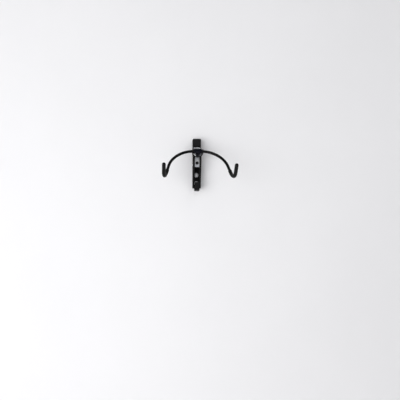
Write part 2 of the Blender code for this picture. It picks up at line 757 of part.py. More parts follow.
def build_swivel_plate(material, parent):
    """Turn the round plate that the hub stands on and the yoke lands on."""
    edge = SWIVEL_PLATE_CHAMFER
    bore = SWIVEL_BOLT_DIAMETER / 2 + GAP
    stations = [
        (PLATE_BACK, bore), (PLATE_BACK, PLATE_RADIUS - edge), (PLATE_BACK + edge, PLATE_RADIUS),
        (PLATE_FRONT - edge, PLATE_RADIUS), (PLATE_FRONT, PLATE_RADIUS - edge), (PLATE_FRONT, bore),
    ]
    bm = bmesh.new()
    add_swept(bm, out_from_wall(0, SWIVEL_AXIS_Z), stations, BIG_SIDES, closed=True)
    plate = make_object("swivel_plate", bm, material, parent, smooth=False)

    holes = bmesh.new()
    hole = PLATE_SCREW_DIAMETER / 2 + GAP
    sink = PLATE_SCREW_HEAD_DIAMETER / 2 + GAP
    floor = PLATE_BACK + GAP + PLATE_SCREW_HEAD_HEIGHT + GAP
    for run in plate_screw_places():
        stations = [
            (PLATE_BACK - edge, 0), (PLATE_BACK - edge, sink), (floor, sink),
            (floor, hole), (PLATE_FRONT + edge, hole), (PLATE_FRONT + edge, 0),
        ]
        add_swept(holes, run, stations, SMALL_SIDES)
    add_boolean(plate, make_cutter("plate_screw_holes", holes, parent), "DIFFERENCE")
    return plate


def build_plate_screws(material, parent):
    """Turn the two screws that hold the swivel plate to the hub."""
    low = PLATE_BACK + GAP
    seat = low + PLATE_SCREW_HEAD_HEIGHT
    radius = PLATE_SCREW_DIAMETER / 2
    head = PLATE_SCREW_HEAD_DIAMETER / 2
    end = HUB_BACK + PLATE_SCREW_BITE
    stations = [(low, 0), (low, head), (seat, head), (seat, radius), (end, radius), (end, 0)]
    for hand_name, run in zip(("left", "right"), plate_screw_places()):
        bm = bmesh.new()
        add_swept(bm, run, stations, SMALL_SIDES)
        make_object(f"plate_screw_{hand_name}", bm, material, parent)


def hub_outline(top):
    """Give the hub's shape from the front: straight sides that run in to a rounded nose."""
    shoulder = FOLD_AXIS_Z - HUB_SHOULDER_DROP
    nose = FOLD_AXIS_Z - HUB_NOSE_DROP
    half_nose = HUB_NOSE_WIDTH / 2
    return rounded([
        (-HUB_HALF_WIDTH, top, 0), (-HUB_HALF_WIDTH, shoulder, HUB_SHOULDER_ROUND),
        (-half_nose, nose, HUB_NOSE_ROUND), (half_nose, nose, HUB_NOSE_ROUND),
        (HUB_HALF_WIDTH, shoulder, HUB_SHOULDER_ROUND), (HUB_HALF_WIDTH, top, 0),
    ])


def add_bar_bore(bm):
    """Add the cutter of the hub's bore for the bushes."""
    reach = HUB_WIDTH
    run = across_from_middle(FOLD_AXIS_DEPTH, FOLD_AXIS_Z)
    add_swept(bm, run, cylinder_stations(-reach, reach, HUB_BORE_RADIUS), SIDES)


def build_hub_base(material, parent):
    """Cast the hub's rear half, with its bore and the seats of its bolt and screws."""
    split = FOLD_AXIS_DEPTH - GAP / 2
    bm = bmesh.new()
    add_prism(bm, hub_outline(FOLD_AXIS_Z + HUB_ROUND), front, HUB_BACK, split)
    base = make_object("hub_base", bm, material, parent, smooth=False)

    bore = bmesh.new()
    add_bar_bore(bore)
    add_boolean(base, make_cutter("base_bar_bore", bore, parent), "DIFFERENCE")

    pocket = bmesh.new()
    wide = SWIVEL_BOLT_HEAD_DIAMETER / 2 + GAP
    narrow = SWIVEL_BOLT_DIAMETER / 2 + GAP
    stations = [
        (PLATE_FRONT, 0), (PLATE_FRONT, narrow), (SWIVEL_HEAD_SEAT, narrow),
        (SWIVEL_HEAD_SEAT, wide), (FOLD_AXIS_DEPTH, wide), (FOLD_AXIS_DEPTH, 0),
    ]
    add_swept(pocket, out_from_wall(0, SWIVEL_AXIS_Z), stations, SIDES)
    add_boolean(base, make_cutter("base_bolt_pocket", pocket, parent), "DIFFERENCE")

    holes = bmesh.new()
    end = HUB_BACK + PLATE_SCREW_BITE + GAP
    stations = cylinder_stations(PLATE_FRONT, end, PLATE_SCREW_DIAMETER / 2 + GAP)
    for run in plate_screw_places():
        add_swept(holes, run, stations, SMALL_SIDES)
    low = FOLD_AXIS_DEPTH - COVER_SCREW_BITE - GAP
    cover_run = out_from_wall(0, FOLD_AXIS_Z - COVER_SCREW_DROP)
    stations = cylinder_stations(low, FOLD_AXIS_DEPTH + GAP, COVER_SCREW_DIAMETER / 2 + GAP)
    add_swept(holes, cover_run, stations, SMALL_SIDES)
    add_boolean(base, make_cutter("base_screw_holes", holes, parent), "DIFFERENCE")
    return base


def build_hub_cover(material, parent):
    """Cast the hub's front half, rounded over the bar and drawn in to the nose."""
    split = FOLD_AXIS_DEPTH + GAP / 2
    above = FOLD_AXIS_Z + HUB_ROUND + HUB_WALL
    far = FOLD_AXIS_DEPTH + HUB_ROUND + HUB_WALL
    bm = bmesh.new()
    add_prism(bm, hub_outline(above), front, split, far)
    cover = make_object("hub_cover", bm, material, parent, smooth=False)

    below = FOLD_AXIS_Z - HUB_NOSE_DROP - HUB_WALL
    profile = [(split - HUB_WALL, below), (split - HUB_WALL, FOLD_AXIS_Z + HUB_ROUND)]
    turns = 2 * ROUND_STEPS
    for step in range(turns + 1):
        angle = math.radians(90 - (90 + HUB_CHEEK_ANGLE) * step / turns)
        depth = FOLD_AXIS_DEPTH + HUB_ROUND * math.cos(angle)
        profile.append((depth, FOLD_AXIS_Z + HUB_ROUND * math.sin(angle)))
    profile.append((FOLD_AXIS_DEPTH + HUB_NOSE_FRONT, below))
    trim = bmesh.new()
    add_prism(trim, profile, side, -HUB_WIDTH, HUB_WIDTH)
    add_boolean(cover, make_cutter("cover_side_shape", trim, parent), "INTERSECT")

    bore = bmesh.new()
    add_bar_bore(bore)
    add_boolean(cover, make_cutter("cover_bar_bore", bore, parent), "DIFFERENCE")

    hole = bmesh.new()
    seat = FOLD_AXIS_DEPTH + COVER_SCREW_SEAT
    narrow = COVER_SCREW_DIAMETER / 2 + GAP
    wide = COVER_SCREW_HEAD_DIAMETER / 2 + GAP
    stations = [
        (FOLD_AXIS_DEPTH - HUB_WALL, 0), (FOLD_AXIS_DEPTH - HUB_WALL, narrow),
        (seat, narrow), (seat, wide), (far, wide), (far, 0),
    ]
    add_swept(hole, out_from_wall(0, FOLD_AXIS_Z - COVER_SCREW_DROP), stations, SIDES)
    add_boolean(cover, make_cutter("cover_screw_hole", hole, parent), "DIFFERENCE")
    return cover


def build_cover_screw(material, parent):
    """Turn the screw that clamps the hub's front half."""
    radius = COVER_SCREW_DIAMETER / 2
    head = COVER_SCREW_HEAD_DIAMETER / 2
    seat = FOLD_AXIS_DEPTH + COVER_SCREW_SEAT + GAP
    top = seat + COVER_SCREW_HEAD_HEIGHT
    socket = COVER_SCREW_SOCKET_DIAMETER / 2
    floor = top - COVER_SCREW_SOCKET_DEPTH
    end = FOLD_AXIS_DEPTH - COVER_SCREW_BITE
    stations = [
        (end, 0), (end, radius), (seat, radius), (seat, head), (top - BOLT_EDGE, head),
        (top, head - BOLT_EDGE), (top, socket, True), (floor, socket, True), (floor, 0),
    ]
    bm = bmesh.new()
    add_swept(bm, out_from_wall(0, FOLD_AXIS_Z - COVER_SCREW_DROP), stations, SIDES)
    return make_object("cover_screw", bm, material, parent)


def build_swivel_bolt(material, parent):
    """Turn the bolt that the hub, plate and bar swing on."""
    radius = SWIVEL_BOLT_DIAMETER / 2
    head = SWIVEL_BOLT_HEAD_DIAMETER / 2
    low = SADDLE_INSIDE_FACE - GAP - SWIVEL_WASHER - GAP - SWIVEL_NUT_HEIGHT - SWIVEL_BOLT_END
    front_face = SWIVEL_HEAD_BACK + SWIVEL_BOLT_HEAD_HEIGHT
    edge = BOLT_EDGE
    stations = [
        (low, 0), (low, radius - edge), (low + edge, radius), (SWIVEL_HEAD_BACK, radius),
        (SWIVEL_HEAD_BACK, head), (front_face, head), (front_face, 0),
    ]
    bm = bmesh.new()
    add_swept(bm, out_from_wall(0, SWIVEL_AXIS_Z), stations, SIDES)
    return make_object("swivel_bolt", bm, material, parent)


def build_swivel_washer(material, parent):
    """Cut the washer between the saddle and the swivel nut."""
    high = SADDLE_INSIDE_FACE - GAP
    low = high - SWIVEL_WASHER
    bore = SWIVEL_BOLT_DIAMETER / 2 + GAP
    bm = bmesh.new()
    outside = SADDLE_INSIDE / 2 - SADDLE_INNER_BEND - SWIVEL_WASHER_CLEARANCE
    stations = ring_stations(low, high, bore, outside)
    add_swept(bm, out_from_wall(0, SWIVEL_AXIS_Z), stations, SIDES, closed=True)
    return make_object("swivel_washer", bm, material, parent)


def build_swivel_nut(material, parent):
    """Make the locking nut that sets how stiffly the hub swivels."""
    high = SADDLE_INSIDE_FACE - GAP - SWIVEL_WASHER - GAP
    low = high - SWIVEL_NUT_HEIGHT
    bore = SWIVEL_BOLT_DIAMETER / 2 + GAP
    across = SADDLE_INSIDE / 2 - SWIVEL_NUT_CLEARANCE
    bm = bmesh.new()
    stations = [(low, bore), (low, across, True), (high, across, True), (high, bore)]
    add_swept(bm, out_from_wall(0, SWIVEL_AXIS_Z), stations, SIDES, closed=True)
    return make_object("swivel_nut", bm, material, parent)


def build_bar_bush(name, hand, material, parent):
    """Turn one of the two flanged plastic bushes that the bar turns in."""
    flange_inside = HUB_HALF_WIDTH + GAP
    stations = [
        (BUSH_MIDDLE_GAP / 2, BUSH_BORE_RADIUS), (BUSH_MIDDLE_GAP / 2, BUSH_RADIUS),
        (flange_inside, BUSH_RADIUS), (flange_inside, BUSH_FLANGE_DIAMETER / 2),
        (BUSH_END, BUSH_FLANGE_DIAMETER / 2), (BUSH_END, BUSH_BORE_RADIUS),
    ]
    bm = bmesh.new()
    run = across_from_middle(FOLD_AXIS_DEPTH, FOLD_AXIS_Z, hand)
    add_swept(bm, run, stations, SIDES, closed=True)
    return make_object(name, bm, material, parent)


def build_support_bar(material, parent):
    """Bend the bar: an arch through the hub, two legs and two upturned hooks."""
    right = bar_points()
    left_to_middle = list(reversed(mirrored(right)))[:-1]
    run = Path(left_to_middle + right, (1, 0, 0))
    edge = BAR_END_CHAMFER
    stations = [(0, 0), (0, BAR_RADIUS - edge), (edge, BAR_RADIUS)]
    stations += [(mark, BAR_RADIUS) for mark in run.between(edge, run.length - edge)]
    stations += [(run.length - edge, BAR_RADIUS), (run.length, BAR_RADIUS - edge), (run.length, 0)]
    bm = bmesh.new()
    add_swept(bm, run, stations, BAR_SIDES)
    return make_object("support_bar", bm, material, parent)


def build_hook_sleeve(name, hand, material, parent):
    """Mould one rubber sleeve: open where the leg goes in, domed over the hook's tip."""
    points = bar_points()
    if hand < 0:
        points = mirrored(points)
    run = Path(points, (hand, 0, 0))
    bore = BAR_RADIUS + GAP
    outside = bore + SLEEVE_WALL
    hook_start = run.marks[-(HOOK_STEPS + 2)]
    mouth = hook_start - SLEEVE_LEAD
    inner_end = run.length + GAP
    dome_base = inner_end + SLEEVE_TIP - outside
    stations = [(inner_end, 0), (inner_end, bore)]
    stations += [(mark, bore) for mark in reversed(run.between(mouth, inner_end))]
    stations += [(mouth, bore), (mouth, outside - SLEEVE_EDGE), (mouth + SLEEVE_EDGE, outside)]
    stations += [(mark, outside) for mark in run.between(mouth + SLEEVE_EDGE, dome_base)]
    for step in range(DOME_STEPS + 1):
        angle = math.pi / 2 * step / DOME_STEPS
        radius = outside * math.cos(angle) if step < DOME_STEPS else 0
        stations.append((dome_base + outside * math.sin(angle), radius))
    bm = bmesh.new()
    add_swept(bm, run, stations, BAR_SIDES)
    return make_object(name, bm, material, parent)


def build_stop_yoke(material, parent):
    """Bend the loop that passes under the hub's nose, and weld it to two rings on the bar."""
    fall = Vector((0, YOKE_BACK_STEP / YOKE_REACH, -YOKE_DROP / YOKE_REACH))
    middle = at(0, FOLD_AXIS_DEPTH, FOLD_AXIS_Z)
    out = Vector((1, 0, 0))
    start = (YOKE_BORE_RADIUS + YOKE_RING_RADIUS) / 2
    bend = YOKE_REACH - YOKE_RING_RADIUS
    points = [middle + out * YOKE_HALF_WIDTH + fall * start]
    turns = 4 * ROUND_STEPS
    for step in range(turns + 1):
        angle = math.pi * step / turns
        across = YOKE_HALF_WIDTH * math.cos(angle)
        points.append(middle + out * across + fall * (YOKE_RING_RADIUS + bend * math.sin(angle)))
    points.append(middle - out * YOKE_HALF_WIDTH + fall * start)
    run = Path(points, (0, YOKE_DROP, YOKE_BACK_STEP))
    radius = YOKE_ROD / 2
    stations = [(0, 0), (0, radius)]
    stations += [(mark, radius) for mark in run.between(0, run.length)]
    stations += [(run.length, radius), (run.length, 0)]
    bm = bmesh.new()
    add_swept(bm, run, stations, SMALL_SIDES)
    yoke = make_object("stop_yoke", bm, material, parent, smooth=False)

    rings = bmesh.new()
    for hand in (-1, 1):
        line = across_from_middle(FOLD_AXIS_DEPTH, FOLD_AXIS_Z, hand)
        low = YOKE_HALF_WIDTH - YOKE_RING_WIDTH / 2
        stations = ring_stations(low, low + YOKE_RING_WIDTH, YOKE_BORE_RADIUS, YOKE_RING_RADIUS)
        add_swept(rings, line, stations, SIDES, closed=True)
    add_boolean(yoke, make_cutter("yoke_rings", rings, parent), "UNION")
    return yoke


def build_wall_screws(material):
    """Turn the three hexagon headed screws that hold the rack to the wall."""
    radius = WALL_SCREW_DIAMETER / 2
    across = WALL_SCREW_HEAD_ACROSS / 2
    edge = WALL_SCREW_CHAMFER
    for row, z, seat_depth in screw_places():
        seat = seat_depth + GAP + WALL_WASHER + GAP
        top = seat + WALL_SCREW_HEAD_HEIGHT
        stations = [
            (-WALL_SCREW_IN_WALL, 0), (WALL_SCREW_POINT - WALL_SCREW_IN_WALL, radius), (seat, radius),
            (seat, across, True), (top - edge, across, True), (top, across - 2 * edge), (top, 0),
        ]
        bm = bmesh.new()
        add_swept(bm, out_from_wall(0, z), stations, SMALL_SIDES)
        make_object(f"wall_screw_{row}", bm, material)


def build_wall_washers(material):
    """Cut the three washers under the wall screws' heads."""
    bore = WALL_SCREW_DIAMETER / 2 + GAP
    for row, z, seat_depth in screw_places():
        low = seat_depth + GAP
        stations = ring_stations(low, low + WALL_WASHER, bore, WALL_WASHER_DIAMETER / 2)
        bm = bmesh.new()
        add_swept(bm, out_from_wall(0, z), stations, SIDES, closed=True)
        make_object(f"wall_washer_{row}", bm, material)


def helmet_strap_line():
    """Give the strap's centre line from the side, with the bends' radii."""
    centre = STRAP_BACK + HELMET_STRAP / 2
    top = MIDDLE_SCREW_Z + HELMET_STRAP_ABOVE_SCREW
    bottom = CHANNEL_FOOT - HELMET_HOOK_BELOW_CHANNEL
    lip_top = HELMET_HOOK_REACH + HELMET_HOOK_LIP_LEAN
    return [
        (centre, top, 0), (centre, bottom, HELMET_HOOK_BEND),
        (HELMET_HOOK_REACH, bottom, HELMET_HOOK_BEND), (lip_top, bottom + HELMET_HOOK_LIP_RISE, 0),
    ]


def strap_outline(line, thickness):
    """Give the outline of a strap that is bent along a line, by pushing it to both sides."""
    half = thickness / 2
    outer = []
    inner = []
    last = len(line) - 1
    for index, (depth, z, radius) in enumerate(line):
        here = Vector((depth, z))
        before = (here - Vector(line[index - 1][:2])).normalized() if index > 0 else None
        after = (Vector(line[index + 1][:2]) - here).normalized() if index < last else None
        if before is None or after is None:
            along = after or before
            normal = Vector((-along.y, along.x))
            outer.append((*(here - normal * half), 0))
            inner.append((*(here + normal * half), 0))
            continue
        normal = (Vector((-before.y, before.x)) + Vector((-after.y, after.x))).normalized()
        stretch = half / normal.dot(Vector((-before.y, before.x)))
        outer.append((*(here - normal * stretch), radius + half))
        inner.append((*(here + normal * stretch), radius - half))
    return rounded(outer + list(reversed(inner)))


def build_helmet_hook(material):
    """Bend the strap that hangs below the channel and turns up as a hook."""
    outline = strap_outline(helmet_strap_line(), HELMET_STRAP)
    half = HELMET_STRAP_WIDTH / 2
    bm = bmesh.new()
    add_prism(bm, outline, side, -half, half)
    hook = make_object("helmet_hook", bm, material, smooth=False)

    holes = bmesh.new()
    radius = (WALL_SCREW_DIAMETER + WALL_SCREW_HOLE_SLACK) / 2
    for z in (MIDDLE_SCREW_Z, LOW_SCREW_Z):
        stations = cylinder_stations(STRAP_BACK - HELMET_STRAP, STRAP_FRONT + HELMET_STRAP, radius)
        add_swept(holes, out_from_wall(0, z), stations, SIDES)
    add_boolean(hook, make_cutter("helmet_hook_holes", holes), "DIFFERENCE")
    return hook


def build_helmet_hook_tip(material):
    """Mould the rubber cap over the end of the helmet hook."""
    line = helmet_strap_line()
    end = Vector(line[-1][:2])
    along = (end - Vector(line[-2][:2])).normalized()
    normal = Vector((-along.y, along.x))
    cover = end + along * (HELMET_TIP_WALL + GAP)
    mouth = end - along * HELMET_TIP_LENGTH

    def slab(near, far, half):
        """Give a rectangle that follows the lip."""
        return [near - normal * half, far - normal * half, far + normal * half, near + normal * half]

    pocket_half = HELMET_STRAP / 2 + GAP
    outer_half = pocket_half + HELMET_TIP_WALL
    side_half = HELMET_STRAP_WIDTH / 2 + GAP
    outer_side = side_half + HELMET_TIP_WALL
    bm = bmesh.new()
    add_prism(bm, slab(mouth, cover, outer_half), side, -outer_side, outer_side)
    tip = make_object("helmet_hook_tip", bm, material, smooth=False)
    pocket = bmesh.new()
    below = mouth - along * HELMET_TIP_WALL
    add_prism(pocket, slab(below, end + along * GAP, pocket_half), side, -side_half, side_half)
    add_boolean(tip, make_cutter("helmet_tip_pocket", pocket), "DIFFERENCE")
    return tip


def build():
    """Build the rack."""
    clear_scene()
    black_steel = make_material("black_powder_coat", (0.012, 0.012, 0.013), 0.42, 0.0)
    zinc = make_material("zinc_plate", (0.46, 0.47, 0.48), 0.34, 1.0)
    cast = make_material("blue_black_casting", (0.008, 0.010, 0.018), 0.36, 0.0)
    oxide = make_material("black_oxide", (0.014, 0.014, 0.015), 0.38, 0.8)
    rubber = make_material("black_rubber", (0.010, 0.010, 0.011), 0.62, 0.0)
    plastic = make_material("black_plastic", (0.016, 0.016, 0.017), 0.48, 0.0)
    nylon = make_material("natural_nylon", (0.62, 0.60, 0.53), 0.45, 0.0)

    swivel = make_empty("swivel_axis", at(0, HUB_BACK, SWIVEL_AXIS_Z))
    fold = make_empty("fold_axis", at(0, FOLD_AXIS_DEPTH, FOLD_AXIS_Z))

    build_wall_channel(black_steel)
    build_top_cap(plastic)
    build_saddle(zinc)
    build_rivets(zinc)
    build_tie_bolt(oxide)
    build_tie_nut(zinc)
    build_tie_spacer(zinc)
    build_bearing_boss(zinc)
    build_swivel_bush(nylon)
    build_wall_screws(zinc)
    build_wall_washers(zinc)
    build_helmet_hook(black_steel)
    build_helmet_hook_tip(rubber)

    build_swivel_plate(zinc, swivel)
    build_plate_screws(oxide, swivel)
    build_hub_base(cast, swivel)
    build_hub_cover(cast, swivel)
    build_cover_screw(oxide, swivel)
    build_swivel_bolt(oxide, swivel)
    build_swivel_washer(zinc, swivel)
    build_swivel_nut(zinc, swivel)
    build_bar_bush("bar_bush_left", -1, plastic, swivel)
    build_bar_bush("bar_bush_right", 1, plastic, swivel)

    build_support_bar(black_steel, fold)
    build_hook_sleeve("hook_sleeve_left", -1, rubber, fold)
    build_hook_sleeve("hook_sleeve_right", 1, rubber, fold)
    build_stop_yoke(black_steel, fold)


build()
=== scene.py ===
"""Horizontal wall bike rack, with every piece in its finished shape and finish.

Each operator makes one piece, or one group of like pieces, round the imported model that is
loaded as a frame. Metres, +Z up, +X to the right seen from the room, +Y into the wall.
"""
import bisect
import json
from math import cos, hypot, pi, radians, sin, sqrt, tan
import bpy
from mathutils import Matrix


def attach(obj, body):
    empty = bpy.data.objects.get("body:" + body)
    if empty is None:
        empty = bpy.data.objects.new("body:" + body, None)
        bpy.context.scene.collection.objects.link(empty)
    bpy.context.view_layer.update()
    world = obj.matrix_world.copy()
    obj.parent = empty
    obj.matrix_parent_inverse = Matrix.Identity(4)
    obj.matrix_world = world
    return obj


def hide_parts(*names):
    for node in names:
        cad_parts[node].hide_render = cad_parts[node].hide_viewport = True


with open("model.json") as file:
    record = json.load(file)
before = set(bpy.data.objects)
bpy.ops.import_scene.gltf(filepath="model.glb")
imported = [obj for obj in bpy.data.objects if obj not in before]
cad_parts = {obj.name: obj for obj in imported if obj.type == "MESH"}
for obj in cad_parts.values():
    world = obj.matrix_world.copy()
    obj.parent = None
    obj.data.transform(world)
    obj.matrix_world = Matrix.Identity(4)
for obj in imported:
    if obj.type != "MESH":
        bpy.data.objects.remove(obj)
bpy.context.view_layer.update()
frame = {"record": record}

from types import SimpleNamespace

import bmesh
import bpy
from bpy.props import FloatProperty, FloatVectorProperty, PointerProperty
from bpy.types import Operator, Panel, PropertyGroup
from mathutils import Vector

bl_info = {
    "name": "Horizontal Wall Bike Rack",
    "version": (1, 0, 0),
    "blender": (4, 5, 0),
    "location": "3D View > Sidebar > Bike Rack",
    "description": "Builds the pieces of a folding wall bike rack, with its hub, bar and hooks",
    "category": "Add Mesh",
}

# The body that each of the imported model's nodes moves with
BODY_OF = {
    node: body
    for body, nodes in frame["record"]["behaviour"]["bodies"].items() for node in nodes
}

# Faces round a turned piece, and steps along its bends, rims, crowns and threads
BIG_SIDES = 96
SIDES = 48
KNURL_SIDES = 168
KNURL_TEETH = KNURL_SIDES // 4
BEAD_SIDES = 14
ARCH_STEPS = 72
HOOK_STEPS = 60
YOKE_STEPS = 48
BEAD_STEPS = 72
CHEEK_STEPS = 20
DOME_STEPS = 10
RIVET_HEAD_STEPS = 9
RIVET_TAIL_STEPS = 7
CROWN_STEPS = 6
BEAD_FALL_STEPS = 5
RIM_STEPS = 4
THREAD_STEPS = 8

# The angle and the least number of steps on a corner, and the steps across an edge
ROUND_STEP = radians(7)
LEAST_STEPS = 3
EDGE_SEGMENTS = 3
BROAD_SEGMENTS = 4

# An edge sharper than this is rounded or stays sharp, and a flatter one is dissolved
SHARP = radians(35.0)
FLAT = radians(0.3)

# Distances that find a path's direction, tell two places apart and clean up a cut
SMALL_STEP = 0.000001
SAME_PLACE = 0.00001
WELD = 0.000002

# Edges that are only broken, and the chamfer round a plate screw's socket, in metres
BROKEN_EDGE = 0.0002
FINE_EDGE = 0.0003
EASED_EDGE = 0.0004
SOCKET_RIM = 0.0001

# Shares: half a tooth in a thread's pitch, how flat its crest is, a plate screw's socket and
# its rim in the head, and the collar in the locking nut
BOLT_TOOTH = 0.5
SCREW_TOOTH = 0.32
FLAT_CREST = 1.4
SMALL_SOCKET = 0.5
SMALL_SOCKET_RIM = 0.55
COLLAR_HEIGHT = 1 / 3
COLLAR_WIDTH = 0.84

# A mould seam's half angle, a wall screw's fullness at the point, and the weld beads
SEAM_WIDTH = 0.01
POINT_FULLNESS = 0.8
BEAD_SINK = 0.1
BEAD_RIPPLE = 0.12
BEAD_RIPPLES = 9

# The two hands of the rack, with the sign of x on each
HANDS = {"left": -1, "right": 1}

# Room between two shader nodes
NODE_COLUMN = 200
NODE_ROW = 180

# The camera's sensor in millimetres and nearest plane, and the wall's place behind the rack
SENSOR = 36.0
CLIP_START = 0.01
BEHIND = 0.0004

# Each lamp's place and width, what all aim at, and the way to the background's bright side
LAMPS = {
    "key": (Vector((-1.6, -2.8, -1.0)), 2.6),
    "fill": (Vector((1.6, -2.4, 2.2)), 2.0),
    "back": (Vector((0.6, 2.6, 0.5)), 2.0),
}
LAMP_AIM = Vector((0, -0.08, 0))
BRIGHT_WAY = (-0.62, 0.36, -0.70)


# ---------------- settings

def amount(name, value, description, **kind):
    """Make a number that can't be negative."""
    return FloatProperty(name=name, description=description, default=value, min=0.0, **kind)


def length(name, value, description):
    """Make a length, in metres."""
    return amount(name, value, description, precision=5, subtype="DISTANCE", unit="LENGTH")


def angle(name, degrees, description):
    """Make an angle, stored in radians."""
    return FloatProperty(
        name=name, description=description, default=radians(degrees), subtype="ANGLE", unit="ROTATION",
    )


def share(name, value, description):
    """Make a share from 0 to 1."""
    return amount(name, value, description, max=1.0, subtype="FACTOR")


def colour(name, value, description):
    """Make a colour."""
    return FloatVectorProperty(
        name=name, description=description, default=value, min=0.0, max=1.0, subtype="COLOR",
    )


def power(name, value, description):
    """Make a lamp's power, in watts."""
    return amount(name, value, description, unit="POWER")


class ChannelSizes(PropertyGroup):
    """Sizes of the folded channel on the wall."""
    gap: length("Gap", 0.0003, "Room between two pieces that touch")
    height: length("Height", 0.200, "From the foot to the top")
    width: length("Width", 0.034, "Across the outside")
    wall: length("Wall", 0.0025, "Thickness of the strip")
    bend: length("Bend", 0.004, "Outside radius of the two folds")
    top_depth: length("Top Depth", 0.036, "Depth of the sides at the top")
    foot_depth: length("Foot Depth", 0.024, "Depth of the sides at the foot")
    corner: length("Corner", 0.004, "Radius of the corners of the sides")
    lip: length("Lip", 0.012, "Depth of the sides past the saddle")
    shoulder_rise: length("Shoulder Rise", 0.014, "Height of the slant below the cap")
    waist: length("Waist", 0.034, "From the fold axis down to the taper")
    turn_in: length("Turned-In Edge", 0.0048, "How far the front edges are turned in")
    turn_in_clearance: length("Turned-In Clearance", 0.0026, "From the boss down to the turned-in edges")
    fold: length("Fold", 0.0022, "Outside radius of the turned-in edges")
    axis_below_top: length("Axis Below Top", 0.061, "From the top down to the fold axis")
    edge: length("Edge", 0.0004, "Rounding of the strip's cut edges")


class CapSizes(PropertyGroup):
    """Sizes of the moulded cap over the channel's upper end."""
    wall: length("Wall", 0.0027, "Thickness of the shell")
    height: length("Height", 0.033, "From its foot to its top")
    clearance: length("Foot Clearance", 0.0015, "From its foot to the channel's shoulder")
    corner: length("Corner", 0.005, "Radius of its upper corners")
    round: length("Outer Round", 0.0011, "Rounding of its outer edges")
    edge: length("Inner Edge", 0.0004, "Rounding of its other edges")
    rib_wall: length("Rib Wall", 0.0015, "Thickness of the gripping ribs")
    rib_depth: length("Rib Depth", 0.016, "Reach of the ribs into the channel")
    rib_height: length("Rib Height", 0.015, "Height of the ribs")


class SaddleSizes(PropertyGroup):
    """Sizes of the plated bracket inside the channel, and of what holds it."""
    depth: length("Depth", 0.050, "From the wall to its face")
    wall: length("Wall", 0.003, "Thickness of the strip")
    bend: length("Bend", 0.005, "Outside radius of the two folds")
    side: length("Side", 0.032, "Length of its sides")
    above: length("Above Axis", 0.024, "Reach above the fold axis")
    below: length("Below Axis", 0.056, "Reach below the fold axis")
    edge: length("Edge", 0.0004, "Rounding of its cut edges")
    rivet: length("Rivet", 0.004, "Diameter of the rivets")
    rivet_head: length("Rivet Head", 0.009, "Diameter of the rivets' heads")
    rivet_rise: length("Rivet Rise", 0.0016, "Height of the rivets' heads")
    rivet_tail: length("Rivet Tail", 0.007, "Diameter of the rivets' tails")
    rivet_tail_rise: length("Tail Rise", 0.0014, "Height of the rivets' tails")
    rivet_from_top: length("Rivet From Top", 0.012, "From its top to the upper rivets")
    rivet_from_foot: length("Rivet From Foot", 0.010, "From its foot to the lower rivets")
    rivet_from_front: length("Rivet From Front", 0.016, "From its face to the rivets")
    bolt_below: length("Tie Bolt Below Axis", 0.040, "From the fold axis down to the tie bolt")
    bolt: length("Tie Bolt", 0.008, "Diameter of the tie bolt")
    bolt_head: length("Tie Bolt Head", 0.0125, "Diameter of its knurled head")
    bolt_rise: length("Tie Bolt Rise", 0.0055, "Height of its head")
    bolt_socket: length("Tie Bolt Socket", 0.0069, "Width of its socket over the corners")
    bolt_socket_depth: length("Socket Depth", 0.003, "Depth of its socket")
    bolt_edge: length("Bolt Edge", 0.0006, "Chamfer on the bolts' heads and ends")
    bolt_pitch: length("Tie Bolt Pitch", 0.0008, "Pitch of the tie bolt's thread")
    knurl: length("Knurl", 0.00014, "Depth of the knurling")
    nut: length("Tie Nut", 0.015, "Width of the tie nut over its corners")
    nut_height: length("Tie Nut Height", 0.0065, "Height of the tie nut")
    spacer_wall: length("Spacer Wall", 0.0022, "Thickness of the spacer tube")


class SwivelSizes(PropertyGroup):
    """Sizes of the bearing that lets the hub turn a little to either side."""
    below: length("Below Fold Axis", 0.0006, "From the fold axis down to the swivel axis")
    bolt: length("Bolt", 0.010, "Diameter of the bolt")
    bolt_head: length("Bolt Head", 0.015, "Diameter of the bolt's head")
    bolt_rise: length("Bolt Rise", 0.004, "Height of the bolt's head")
    bolt_end: length("Bolt End", 0.0035, "Reach of the bolt past its nut")
    pitch: length("Thread Pitch", 0.0015, "Pitch of the bolt's thread")
    thread: length("Thread Depth", 0.0008, "Depth of the bolt's thread")
    bush_wall: length("Bush Wall", 0.0017, "Thickness of the bush")
    flange_width: length("Flange Width", 0.022, "Diameter of the bush's flange")
    flange: length("Flange", 0.0012, "Thickness of the bush's flange")
    boss: length("Boss", 0.025, "Diameter of the boss")
    boss_length: length("Boss Length", 0.0185, "Length of the boss")
    boss_edge: length("Boss Edge", 0.0005, "Rounding of the boss's edges")
    plate: length("Plate", 0.004, "Thickness of the round plate")
    rim: length("Plate Rim", 0.0012, "Reach past the middle of the loop's rod")
    edge: length("Plate Edge", 0.0006, "Rounding of the plate's edge")
    washer: length("Washer", 0.002, "Thickness of the washer")
    washer_clearance: length("Washer Clearance", 0.0002, "From the washer to the saddle's bend")
    nut_clearance: length("Nut Clearance", 0.0014, "From its corners to the saddle's sides")
    nut_height: length("Nut Height", 0.008, "Height of the nut")
    screw: length("Plate Screw", 0.0035, "Diameter of the two plate screws")
    screw_head: length("Plate Screw Head", 0.007, "Diameter of their heads")
    screw_rise: length("Plate Screw Rise", 0.0019, "Height of their heads")
    screw_side: length("Plate Screw Side", 0.0105, "From the middle to each plate screw")
    screw_above: length("Plate Screw Above", 0.003, "From the fold axis up to the plate screws")
    screw_bite: length("Plate Screw Bite", 0.0068, "Depth in the hub")


